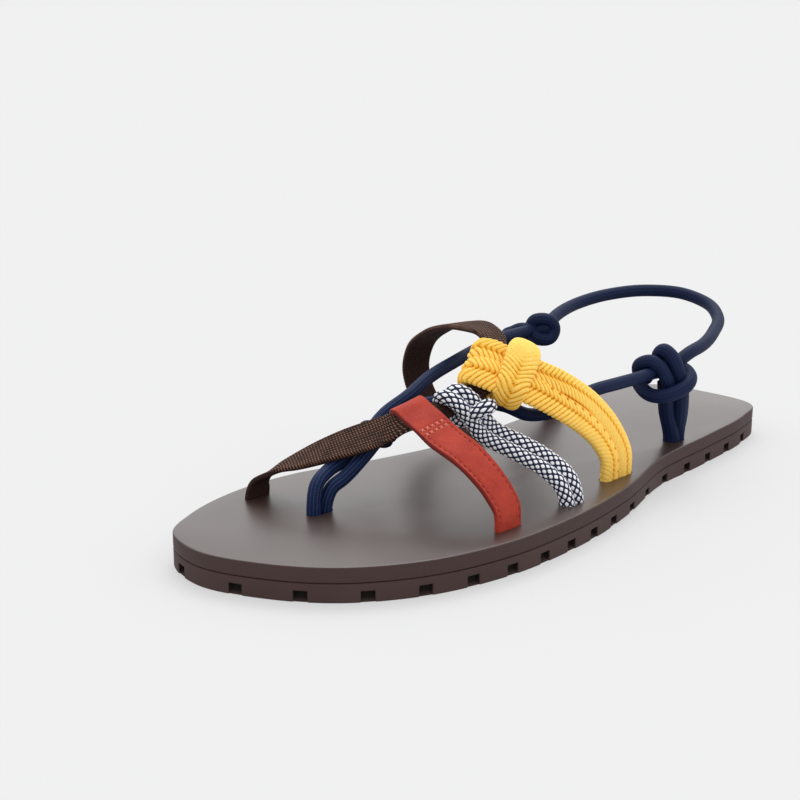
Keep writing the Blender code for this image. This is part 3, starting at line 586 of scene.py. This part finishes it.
leather = dict(
    thick=2, corner=0.55, samples=300, flat=60, bend=4, width=13, stand=2.2, edge=5.35,
    rise=[(43.4, -57.4, footZ, 0, 1, 0, 12.2), (43.4, -57.4, 12.5, 0, 1, 0, 12.2),
          (42.9, -57.5, 18.7, 0, 1, 0, 12.6), (39.7, -58.2, 24.1, 0.02, 1, 0.05, 13),
          (34.6, -58.9, 29.3, 0.05, 1, 0.1, 13.2), (27, -59.7, 34.6, 0.1, 0.98, 0.17, 13.4),
          (17, -60.4, 39, 0.17, 0.95, 0.23, 13.3)],
    turn=dict(spot=(3.1, -58.7, 42.6), along=(0.192, 0.951, 0.248), across=(0.926, -0.092, -0.364)),
    # the darkest red is painted shade on the strap's edges and along the cross seam rows
    tones=dict(dark=tone(153, 41, 26), light=tone(175, 56, 37), nap=tone(216, 106, 84),
               cut=tone(98, 27, 21), edgeThread=tone(150, 44, 35), crossThread=tone(226, 118, 98)),
    stitchIn=1.5, stitchFrom=8.2, stitchPitch=2.3, stitchLong=1.5, thread=0.24, stitchSunk=0.12,
    rowsAt=(49, 51.3), crossPitch=2.1, crossSlant=0.8, crossLift=0.06, crossSize=1.3,
    seamDeep=0.2, crossDeep=0.22, waveHigh=0.07,
)
seamIn = 0.5 * leather["width"] - leather["stitchIn"]  # edge seams, from the middle of the strap


def leatherMaterial():
    # red nubuck: mottled nap, soft fine grain; where it is marked, painted shade darkens the edges
    # and the cross seam rows
    m = startMaterial("redNubuck", 0.72, 0.25, Sheen_Weight=0.05, Sheen_Roughness=0.45)
    tones = leather["tones"]
    nap = m.noise(1500, 3, 0.7)
    colour = m.noise(120, 4).rise(0.3, 0.7).mix(tones["dark"], tones["light"])
    colour = (nap.rise(0.55, 0.75) * 0.3).mix(colour, tones["nap"])
    colour = (m.raised * 0.8).mix(colour, tones["cut"])
    return m.finish(colour, nap + 0.8 * m.noise(420), 0.25, 0.0002)


def stitchMaterial(name):
    # twisted thread: mottled light and dark plies
    m, colour = startMaterial(name, 0.6, 0.3), leather["tones"][name]
    ply = m.noise(2500, 2)
    dark = tuple(0.6 * channel for channel in colour[:3]) + (1.0,)
    return m.finish(ply.rise(0.3, 0.7).mix(dark, colour), ply, 0.4, 0.0001)


def leatherRows():
    # over the webbing, round its upper edge and back under
    hold, stand, edge = holdFrame(leather["turn"]), leather["stand"], leather["edge"]
    loop = [(6, stand + 0.2), (0, stand), (0.3 - edge, stand), (-edge - 0.9, 0.72 * stand),
            (-edge - 1.5, 0), (-edge - 0.9, -0.72 * stand), (0.3 - edge, -stand), (-1.5, -stand)]
    return leather["rise"] + [(*inHold(hold, 0.0, across, out), *hold[1], leather["width"])
                              for across, out in loop]


def leatherRelief(along, across):
    # troughs under both edge seams, dips at the cross seams, soft waves of a worn strap between
    first = leather["rowsAt"][0]
    seam = bell(np.abs(across), seamIn, 0.6) * (1.0 - step(first - 1.0, first + 1.0, along))
    cross = sum(bell(along, row, 0.7) for row in leather["rowsAt"])
    cross = cross * (1.0 - step(4.9, 5.9, np.abs(across)))
    wave = np.sin(0.42 * along + 0.3 * across) * np.sin(0.19 * along - 0.25 * across)
    return leather["waveHigh"] * wave - leather["seamDeep"] * seam - leather["crossDeep"] * cross


def stitchRow(path, along, across, slant, lift, size):
    # small capsules on the outer face, turned by slant from the strap's direction, in one array:
    # centre + run x share of the length + out x (sink + radius sin) + other x radius cos
    def at(rows):
        return np.stack([np.interp(along, path.walked, column) for column in rows.T], 1)
    side, out = unit(at(path.across)), -unit(at(path.out))
    run = unit(unit(at(path.along)) * np.cos(slant) + side * np.sin(slant))
    other = np.cross(out, run)
    centre = at(path.centre) + side * across[:, None] + out * lift
    share = np.array([-1.0, -0.85, -0.5, 0.0, 0.5, 0.85, 1.0])
    long = 0.5 * size * leather["stitchLong"] * share
    radius = size * leather["thread"] * np.array([0.25, 0.75, 1.0, 1.0, 1.0, 0.75, 0.25])[:, None]
    sink = -0.25 * share[:, None] ** 2
    turn = turnsRound(6)
    grids = (centre[:, None, None] + run[:, None, None] * long[None, :, None, None]
             + out[:, None, None] * (sink + radius * np.sin(turn))[None, ..., None]
             + other[:, None, None] * (radius * np.cos(turn))[None, ..., None])
    return [skin(one, share, wrapped(turn)) for one in grids]


path = bandPath(leatherRows(), leather["samples"])
grid, across, side = bandGrid(path, leather, leatherRelief)
# painted shade: the strap's edges and its cross seam rows are marked, which darkens them as shade
# on the edge thickness and in the stitch holes
cut = step(6.15, 6.45, np.abs(across))
cut += 0.4 * sum(bell(path.walked[:, None], row, 0.5) for row in leather["rowsAt"])
makePiece("leatherBand", [skin(grid, path.walked, wrapped(across), raised=cut)],
          leatherMaterial(), "leather_strap")

surface = 0.5 * leather["thick"] - leather["stitchSunk"]
edgeSpots = np.arange(leather["stitchFrom"], leather["rowsAt"][0] - 0.6, leather["stitchPitch"])
edgeStitches = []
for inset in (-seamIn, seamIn):
    edgeStitches += stitchRow(path, edgeSpots, np.full(len(edgeSpots), inset), 0.0, surface, 1.0)
makePiece("edgeStitches", edgeStitches, stitchMaterial("edgeThread"))
crossSpots = np.arange(-seamIn + 0.4, seamIn, leather["crossPitch"])
crossStitches = []
for row in leather["rowsAt"]:
    at = np.full(len(crossSpots), row)
    for slant in (leather["crossSlant"], -leather["crossSlant"]):
        crossStitches += stitchRow(path, at, crossSpots, quarterTurn + slant,
                                   surface + leather["crossLift"], leather["crossSize"])
makePiece("crossStitches", crossStitches, stitchMaterial("crossThread"))
print("leather and its seams done")


# checked cord

check = dict(
    radius=2.75, thin=2.7, apart=2.6, samples=980, around=48, slant=(0.65, 0.49, -0.58),
    cells=7, pitch=2.85, cellRound=0.22, cellHigh=0.3, cellSunk=0.16, whiteTo=(0.325, 0.385),
    tones=dict(pale=tone(226, 230, 240), white=tone(255, 255, 255), dark=tone(13, 19, 38),
               navy=tone(34, 44, 74)),
    rise=[(42.9, -22, footZ), (42.9, -22, 13), (40.6, -23.4, 20), (34.7, -27, 26),
          (26.5, -32, 31)],
    lean=[(0, 1, 0), (0, 1, 0), (0, 0.93, 0.37), (-0.1, 0.88, 0.46), (0, 0.88, 0.48)],
    # along the webbing, across it and out, from one leg round to the other
    turns=[(-3.6, 14, 0.3), (-2.2, 7.5, 2.2), (-1.4, 2, 3.8), (-1.05, -1.8, 3.7),
           (-1.05, -3.9, 2.4), (-1.05, -4.8, 0), (-1.1, -3.9, -2.6), (-1.2, -1.8, -3.8),
           (-1.6, 1.4, -4.2), (-2.4, 4.4, -3.4), (-2.8, 6.6, -1), (-1.6, 7.3, 2.6),
           (0.4, 7.5, 5.4), (2.8, 7.6, 6.7), (5.2, 7.6, 5.6), (6.6, 7.3, 2.6), (6.6, 6.3, -0.6),
           (5.7, 4.4, -3.4), (4.8, 1.4, -4.2), (4.4, -1.8, -3.8), (4.3, -3.9, -2.6),
           (4.25, -4.8, 0), (4.25, -3.9, 2.4), (4.25, -1.8, 3.7), (4, 2, 4),
           (2.6, 7.5, 2.6), (1.5, 14, 0.8)],
)


def checkMaterial():
    # white diamonds in a dark lattice: cells of two crossing helices
    m, tones = startMaterial("checkSheath", 0.8, 0.25), check["tones"]
    turns, pitch = m.around * check["cells"], m.along / check["pitch"]
    first = abs((turns + pitch).fract() - 0.5)
    second = abs((turns - pitch).fract() - 0.5)
    edge = first.math("MAXIMUM", first, second)
    edge = edge + check["cellRound"] * first.math("MINIMUM", first, second)
    white = 1.0 - edge.rise(*check["whiteTo"])
    yarn = m.noise(1800, 2)
    pale = yarn.rise(0.25, 0.75).mix(tones["pale"], tones["white"])
    dark = yarn.mix(tones["dark"], tones["navy"])
    return m.finish(white.mix(dark, pale), yarn + white * 0.6, 0.3, 0.0002)


def checkRows():
    # doubled cord: up from the slot, over and round the webbing, through the bight, back and down
    spot, along, across, out = holdFrame(holds["check"])
    hold = (spot, along, unit(check["slant"]), out)
    rise, lean = np.array(check["rise"]), np.array(check["lean"]) * check["apart"]
    legs = [np.c_[rise + sign * lean, np.full(len(rise), check["radius"])] for sign in (-1.0, 1.0)]
    turns = [(*inHold(hold, *reach), check["thin"]) for reach in check["turns"]]
    return np.vstack([legs[0], turns, legs[1][::-1]])


def checkRelief(along, turn):
    # every cell of the two crossing helices bulges, highest in its middle
    cells, pitch = check["cells"] * turn, along / check["pitch"]
    first = np.abs((cells + pitch) % 1.0 - 0.5)
    second = np.abs((cells - pitch) % 1.0 - 0.5)
    edge = np.maximum(first, second) + check["cellRound"] * np.minimum(first, second)
    return check["cellHigh"] * (1.0 - step(0.12, 0.5, edge)) - check["cellSunk"]


path = cordPath(checkRows(), check["samples"])
grid = cordGrid(path, path.extra[:, 0], check["around"], checkRelief)
makePiece("checkedCord", [skin(grid, path.walked)], checkMaterial(), "check_cord")


# yellow braid

braid = dict(
    samples=420, bightSamples=190, around=80, thick=2.15, pitch=1.92, slope=0.72, rib=0.5,
    stand=3.2, valley=0.55, bightValley=0.28, bightOver=3.5, pitsTo=56, partedFrom=(30, 42),
    partedTo=(58, 66),
    # pit and valley are painted shade, crest a painted highlight, rib the yarn's own colour
    tones=dict(pit=tone(98, 44, 4), valley=tone(208, 121, 12), rib=tone(247, 185, 58),
               crest=tone(255, 215, 112)),
    rise=[(36.9, 13.2, footZ, 0, -1, 0, 17.2), (36.9, 13.2, 12.5, 0, -1, 0, 17.2),
          (36.9, 12.8, 20, 0, -1, 0, 17.2), (34.6, 9.4, 28.6, 0.1, -0.95, -0.3, 17.8),
          (30.6, 2.8, 37.2, 0.2, -0.85, -0.45, 19.4), (27, -5.8, 44, 0.3, -0.78, -0.5, 20.6)],
    # side and slant of the ribs, place along the webbing, width, lift, climb per mm across
    wraps=[(1, -4.6, 11.8, 0.5, 0.1), (-1, 4.9, 10.8, -0.2, 0)],
    # relief at the slot, and where it starts and ends to grow
    plain=[(0.34, 20, 52), (0.16, 34, 56)],
)


def braidMaterial():
    # golden yarn by the mark: painted shade in brown pits and orange valleys, the rib tone between,
    # a painted highlight on pale crests; fine plies by noise
    m = startMaterial("goldenBraid", 0.75, 0.2, Sheen_Weight=0.05, Sheen_Roughness=0.4)
    tones = braid["tones"]
    yarn, high = m.noise(1400, 3, 0.6), m.raised
    colour = high.rise(0.0, 0.22).mix(tones["pit"], tones["valley"])
    colour = high.rise(0.14, 0.6).mix(colour, tones["rib"])
    colour = (high.rise(0.5, 1.0) * (0.5 + 0.5 * yarn.rise(0.3, 0.7))).mix(colour, tones["crest"])
    return m.finish(colour, yarn, 0.35, 0.0002)


def braidRows(sign, at, wide, lift, climb):
    # one braid of the pair: up from the slot, over the webbing, round its upper edge and back under
    hold, stand = holdFrame(holds["braid"]), braid["stand"]
    rise = np.array(braid["rise"])
    rise[:, :3] += unit(rise[:, 3:6]) * 0.25 * sign * rise[:, 6:7]
    rise[:, 6] *= 0.5
    # across the webbing, out of it, share of the width
    wrap = [(10, stand + 0.3 + lift, 1), (3, stand + lift, 1), (-7.2, stand + lift, 1),
            (-9.9, 0.72 * stand + lift, 0.92), (-10.9, lift, 0.82), (-9.9, -0.72 * stand, 0.8),
            (-7.2, -stand, 0.8), (0, -stand, 0.8), (7, -stand, 0.8)]
    wrap = [(*inHold(hold, at + climb * across, across, out), *(-hold[1]), wide * share)
            for across, out, share in wrap]
    return np.vstack([rise, wrap])


def bightRows():
    # the turn drawn over the pair: tucked under below, broad and round at the top
    hold, stand = holdFrame(holds["braid"]), braid["stand"]
    over = stand + braid["bightOver"]
    # along the webbing, across it, out of it, width
    arch = [(-4, 6.2, -stand, 7), (-7.8, 6.2, 0.6 - stand, 8.6), (-9.2, 6.2, 1.8, 10.2),
            (-7.6, 6, over - 0.5, 11), (-1.8, 5.7, over + 0.3, 11.2),
            (3, 5.5, over + 0.5, 11.8), (8.5, 5, over + 0.6, 12), (13, 4.7, over - 1.7, 9.8),
            (15.2, 4.6, 1.2, 6.8), (13.4, 4.4, 0.4 - stand, 7), (8, 4.4, -stand, 7)]
    return [(*inHold(hold, *reach), *(-hold[2]), wide) for *reach, wide in arch]


def braidSkin(path, lean, grow, valley, parted, leg):
    # squarish ellipse; two lobes with a valley down the middle; round ribs slant from both edges to
    # the middle, half a rib apart, and flatten where grow is small; the mark is high on crests and
    # low in valleys for painted highlight and shade, and is lowered as painted shade along the
    # inner edge where the pair is parted and in a pit at every second rib up to the distance leg
    turn = turnsRound(braid["around"])[None]
    x = np.sign(np.cos(turn)) * np.abs(np.cos(turn)) ** 0.8
    y = np.sign(np.sin(turn)) * np.abs(np.sin(turn)) ** 0.8
    along, wide, thick = path.walked[:, None], 0.52 * path.width[:, None], braid["thick"]
    across = x * wide
    phase = (along - lean * braid["slope"] * np.abs(across)) / braid["pitch"] + 0.5 * (across > 0.0)
    crest = 1.0 - np.abs(2.0 * (phase % 1.0) - 1.0) ** 3.0
    middle = bell(across, 0.0, 0.9)
    lift = grow * (braid["rib"] * (crest - 0.6) - valley * middle - 0.35 * middle * (1.0 - crest))
    outX, outY = x / wide, y / thick
    size = np.sqrt(outX ** 2 + outY ** 2)
    grid = carried(path, across + lift * outX / size, thick * y + lift * outY / size)
    deep = middle * np.clip(valley / braid["valley"], 0.0, 1.0)
    raised = np.clip(crest * (1.0 - 0.6 * deep) + 0.6 * (1.0 - grow) * (1.0 - deep), 0.0, 1.0)
    # painted shade: pits in the gap between the braids and the parted inner edge lower the mark,
    # darkening them
    pits = step(0.3, 0.85, np.cos(np.pi * along / braid["pitch"]))
    pits = pits * (1.0 - step(leg - 6.0, leg, along)) * bell(lean * x, -0.66, 0.13) * (y > 0.0)
    raised = raised * (1.0 - parted * step(0.7, 0.96, -lean * x)) * (1.0 - 0.85 * pits)
    return skin(grid, path.walked, raised=raised)


skins = []
for wrap, (plain, start, end) in zip(braid["wraps"], braid["plain"]):
    path = bandPath(braidRows(*wrap), braid["samples"])
    far = path.walked[:, None]
    grow = plain + (1.0 - plain) * step(start, end, far)
    parted = 0.9 * step(*braid["partedFrom"], far) * (1.0 - step(*braid["partedTo"], far))
    leg = braid["pitsTo"] if wrap[0] > 0 else 0.0  # only the lower braid shows its pits
    skins.append(braidSkin(path, wrap[0], grow, braid["valley"], parted, leg))
path = bandPath(bightRows(), braid["bightSamples"])
far = path.walked[:, None] / path.walked[-1]
grow = 1.0 - 0.85 * step(0.42, 0.58, far)  # ribs and valley end at the top of the bight
valley = braid["bightValley"] * (1.0 - step(0.42, 0.56, far))
skins.append(braidSkin(path, 1.0, grow, valley, 0.0, 0.0))
makePiece("braidBand", skins, braidMaterial(), "braid_strap")


# navy cords

navy = dict(
    ribs=12, around=48, perMm=2.2, radius=2.45, heelRadius=2.6, anchorRadius=3.3, knotRadius=2.75,
    postHigh=0.05, plainHigh=0.015, pick=0.9, fade=(62, 104),
    tones=dict(dark=tone(9, 24, 57), line=tone(54, 82, 136)),
    apart=dict(lateral=(2.7, 2.7, 2.6, 2.9, 4, 3.8, 3, 2.7),
               medial=(2.7, 2.9, 3.4, 3.4, 2.9, 2.7, 2.7, 2.7)),
    post=[(-14.1, -89.5, footZ), (-14.1, -89.5, 13.5), (-14.3, -86.8, 20), (-14.6, -80.5, 23.4),
          (-15.1, -71.5, 27.2), (-16.3, -60.5, 33.4), (-17, -51, 38.2), (-16, -42, 41.3)],
    postSide=[(0, 1, 0), (0, 1, 0), (0.3, 0.9, -0.3), (0.8, 0.4, -0.3),
              (0.98, 0, 0.17), (0.98, 0, 0.1), (0.95, 0, -0.1), (0.9, 0, -0.4)],
    ends=dict(
        lateral=[(-8, -31, 41.2), (1.5, -24.6, 41.6), (10, -18.6, 40.2), (15.8, -13.6, 37.2),
                 (20.4, -7, 37.4), (22.6, 2.5, 40), (24.6, 13, 42.4), (26.8, 28, 43.2),
                 (27.4, 39, 43.2), (26.8, 48.6, 43), (26.5, 56.2, 42.6)],
        medial=[(-20.6, -26, 47.4), (-22.6, -10, 50), (-25.4, 6, 51.6), (-28, 22, 52.6),
                (-29.2, 36, 52.5), (-30, 44, 52.2), (-30.2, 48.6, 51.8)]),
    heel=[(-29.2, 54.5, 53), (-33.5, 68, 55.2), (-36, 84, 56.8), (-33, 101, 58.6),
          (-24, 116.5, 59.6), (-10.5, 126, 58.8), (3, 125, 56.4), (15.2, 114.5, 53.4),
          (23.4, 98, 51), (29, 81.4, 49.4), (30.6, 67.5, 48), (30, 60, 45.2)],
)
# ring and turns are right, up and front of the centre, as seen from the lateral front
knots = dict(
    lateral=dict(
        centre=(29.8, 56, 40.5), spread=2.05,
        ring=[(-11.2, -1.2, -2.8), (-9.9, -4.1, 1.6), (-7.1, -5.5, 5.6), (-2.9, -5.2, 8.1),
              (2.4, -3.4, 8.2), (6.7, -1.2, 5.5), (8.4, 0.9, 0.8), (6.8, 2.6, -3.3),
              (2.8, 2.3, -6.8), (-3.8, 0.7, -7.5)],
        turns=[[(-6.8, -1.4, -4.8), (-10.9, 1.9, -2.1), (-11.1, 5.5, 0.6), (-7.7, 7.1, 2.2),
                (-3.9, 5.1, 3.8), (-1.5, 1.1, 4.9), (0.2, -3.1, 3.4), (1.1, -7.2, -0.1)],
               [(-1.1, 3.8, -6.2), (-3.3, 8.6, -3.4), (-1.8, 10.9, -0.4), (0.6, 9.2, 1.7),
                (2.5, 5.5, 3.2), (4.1, 0.9, 2.9), (5.3, -3.7, 0)]],
        legs=[(25.9, 68.3, footZ), (25.9, 68.3, 13), (28.4, 63.2, 26), (31.2, 58, 36),
              (31.2, 57.6, 39)]),
    medial=dict(
        centre=(-29, 48.5, 52), spread=1.6,
        ring=[(-2.8, 0.3, 0.4), (-1.8, 3.6, 0.6), (1.5, 4.6, 1.3), (5.3, 3.3, 1.2), (6.4, 0.2, 1),
              (5, -2.8, 1.8), (1.5, -3.3, 3), (-1.8, -2.2, 2.7)],
        turns=[[(-8.5, -8.5, -2.5), (-11.6, -6, -2), (-12.6, -2.6, -1.4), (-10.3, -0.9, 0.7),
                (-7.3, 0.7, 2.4), (-3.7, 0.3, 2), (-0.2, -2.6, -0.6), (1.8, -3.2, 1.6)],
               [(-5, -6.8, -4), (-3.2, -3.1, -3.3), (2.6, -1.1, -4.4), (7.1, 3, -4.9)],
               [(-2.4, -1.8, -1), (0.4, 0.2, 0.9), (3.2, 1.2, 0.8), (5.4, 2.4, -1)]],
        legs=[(-35.1, 69.5, footZ), (-35.1, 69.5, 13), (-37.6, 54.6, 34), (-35.2, 44.4, 47),
              (-33.2, 45.6, 49.6), (-31, 47.2, 50.8)]),
)
toeKnot = dict(spot=(-16.4, -59.4, 33), along=(-0.08, 0.88, 0.47), radius=1.7, wide=6.4, high=3.7,
               tilt=0.8, apart=0.8, points=14)


def navyMaterial(name, lines):
    # fine sheath: thin lighter lines along the cord with short slanted picks between them, fainter
    # where it is marked
    m, tones = startMaterial(name, 0.65, 0.18), navy["tones"]
    fromMiddle = abs((m.around * navy["ribs"]).fract() - 0.5)
    crest = (1.0 - fromMiddle.rise(0.03, 0.24)) * (1.0 - 0.85 * m.raised)
    pick = abs((m.along / navy["pick"] + fromMiddle * 0.9).fract() - 0.5)
    yarn = m.noise(1600, 2)
    line = crest * lines * (0.5 + pick) * (0.4 + 0.6 * yarn.rise(0.3, 0.7))
    height = crest * 0.6 + pick * 0.5 + yarn * 0.4
    return m.finish(line.mix(tones["dark"], tones["line"]), height, 0.3, 0.0002)


def cordSkin(rows, radius, high, closed=False):
    # one cord along the rows: lengthwise ribs by a cosine times high, and short picks, all fading
    def ribs(along, turn):
        rib = (turn * navy["ribs"]) % 1.0
        pick = np.abs((along / navy["pick"] + 0.9 * np.abs(rib - 0.5)) % 1.0 - 0.5)
        smooth = 1.0 - 0.75 * step(*navy["fade"], along)
        return high * smooth * (np.cos(fullTurn * (rib - 0.5)) + 0.6 * (pick - 0.25))
    long = np.sum(np.linalg.norm(np.diff(rows, axis=0), axis=1))
    path = cordPath(rows, int(long * navy["perMm"]), closed)
    faded = np.repeat(step(*navy["fade"], path.walked), navy["around"])
    return skin(cordGrid(path, radius, navy["around"], ribs), path.walked, None, closed, faded)


def knotRows(centre, table):
    # centre + right, up and front, each times its own direction
    ways = np.array([unit((0.72, 0.69, 0.0)), (0.0, 0.0, 1.0), unit((0.69, -0.72, 0.0))])
    return np.asarray(centre) + np.asarray(table, float) @ ways


def anchorRows(label):
    # both legs of an anchor: beside each other at the slot, turned and spread towards the knot
    legs, spread = np.array(knots[label]["legs"]), knots[label]["spread"]
    low, high = 13.0, 28.0
    aside = np.stack([np.interp(legs[:, 2], (low, high), (0.0, spread)),
                      np.interp(legs[:, 2], (low, high), (1.7, spread)), np.zeros(len(legs))], 1)
    return legs - aside, legs + aside


def toeKnotRows():
    # two slanting ellipses round the toe cords: spot + along x tilt sin + across cos + out sin
    along = unit(toeKnot["along"])
    across = unit(np.eye(3)[0] - along * along[0])
    out = np.cross(along, across)
    turn = turnsRound(toeKnot["points"])[:, None]
    tilt, shift = toeKnot["tilt"] * np.sin(turn), toeKnot["apart"] * toeKnot["radius"]
    return [np.array(toeKnot["spot"]) + along * (sign * shift + tilt)
            + across * toeKnot["wide"] * np.cos(turn) + out * toeKnot["high"] * np.sin(turn)
            for sign in (-1.0, 1.0)]


postSheath, navySheath = navyMaterial("postSheath", 0.8), navyMaterial("navySheath", 0.15)
plain = navy["plainHigh"]
for label, sign in (("lateral", 1.0), ("medial", -1.0)):
    aside = unit(navy["postSide"]) * sign * np.array(navy["apart"][label])[:, None]
    route = np.vstack([np.array(navy["post"]) + aside, navy["ends"][label]])
    makePiece("toeCord_" + label, [cordSkin(route, navy["radius"], navy["postHigh"])],
              postSheath, "toe_cord_" + label)
    makePiece("heelAnchor_" + label,
              [cordSkin(leg, navy["anchorRadius"], plain) for leg in anchorRows(label)],
              navySheath, "heel_anchor_" + label)
    tables = [(knots[label]["ring"], True)] + [(turn, False) for turn in knots[label]["turns"]]
    makePiece("heelKnot_" + label,
              [cordSkin(knotRows(knots[label]["centre"], table), navy["knotRadius"], plain, closed)
               for table, closed in tables], navySheath, "heel_knot_" + label)
makePiece("heelLoop", [cordSkin(navy["heel"], navy["heelRadius"], plain)], navySheath,
          "heel_cord")
makePiece("toeKnot", [cordSkin(loop, toeKnot["radius"], plain, True) for loop in toeKnotRows()],
          navySheath, "toe_cord_knot")
print("cords and knots done")


# stage

stage = dict(
    floorReach=200, floorDark=(0.28, 0.28, 0.282, 1), floorLight=(0.283, 0.283, 0.285, 1),
    glow=(0.995, 0.995, 1, 1), glowPower=0.48,
    room=(0.995, 0.997, 1, 1), bright=(-0.45, 0.85, 0.3), low=0.94, high=1.32, horizon=0.871,
    sun=(-0.35, 0.45, 0.82), sunSize=0.6, sunPower=1.1,
)
photo = dict(
    lens=65.43, sensor=36, place=(0.333407, -0.413803, 0.180610),
    right=(0.72379, 0.69002, -0.00029), up=(-0.18038, 0.18962, 0.96515),
    back=(0.66602, -0.69851, 0.26171),
)


def floorMaterial():
    # matt sheet with a trace of noise, which gives off some light itself so that shadows stay weak
    m = startMaterial("paleFloor", 0.9, 0.0, Emission_Color=stage["glow"],
                      Emission_Strength=stage["glowPower"])
    return m.finish(m.noise(3).mix(stage["floorDark"], stage["floorLight"]))


def turned(right, up, back, place):
    # matrix of an object that looks away from back, at its place
    return Matrix([*np.array([right, up, back, place]).T.tolist(), (0, 0, 0, 1)])


def makeFloor():
    # one wide square under the sole
    reach = stage["floorReach"]
    mesh = bpy.data.meshes.new("paleFloor")
    mesh.from_pydata([(-reach, -reach, 0.0), (reach, -reach, 0.0), (reach, reach, 0.0),
                      (-reach, reach, 0.0)], [], [(0, 1, 2, 3)])
    mesh.materials.append(floorMaterial())
    addObject("paleFloor", mesh)


def makeLight():
    # a room brighter behind the heel and even at the horizon, one broad soft sun from the back
    world = bpy.data.worlds.new("softRoom")
    bpy.context.scene.world = world
    world.use_nodes = True
    tree = world.node_tree
    backdrop = tree.nodes["Background"]
    way = Wire(tree).node("TexCoord", out=0)
    facing = way.node("VectorMath", {"operation": "DOT_PRODUCT"},
                      {0: way, 1: tuple(unit(stage["bright"]))}, 1)
    room = facing.rise(-0.4, 0.7) * (stage["high"] - stage["low"]) + stage["low"]
    height = abs(Wire(tree, way.node("SeparateXYZ", links={0: way}).socket.node.outputs[2]))
    share = height.rise(0.02, 0.08)
    strength = share * room + (1.0 - share) * stage["horizon"]
    tree.links.new(strength.socket, backdrop.inputs["Strength"])
    backdrop.inputs["Color"].default_value = stage["room"]
    lamp = bpy.data.lights.new("softSun", "SUN")
    lamp.energy, lamp.angle = stage["sunPower"], stage["sunSize"]
    back = unit(stage["sun"])
    right = unit(np.cross((0, 0, 1), back))
    addObject("softSun", lamp).matrix_world = turned(right, np.cross(back, right), back, back)
    bpy.context.scene.view_settings.view_transform = "Standard"


def makeCamera():
    # the photo's place, direction and lens
    lens = bpy.data.cameras.new("photoCamera")
    lens.lens, lens.sensor_width = photo["lens"], photo["sensor"]
    camera = addObject("photoCamera", lens)
    camera.matrix_world = turned(photo["right"], photo["up"], photo["back"], photo["place"])
    bpy.context.scene.camera = camera


makeFloor()
makeLight()
makeCamera()
print("stage and camera set")
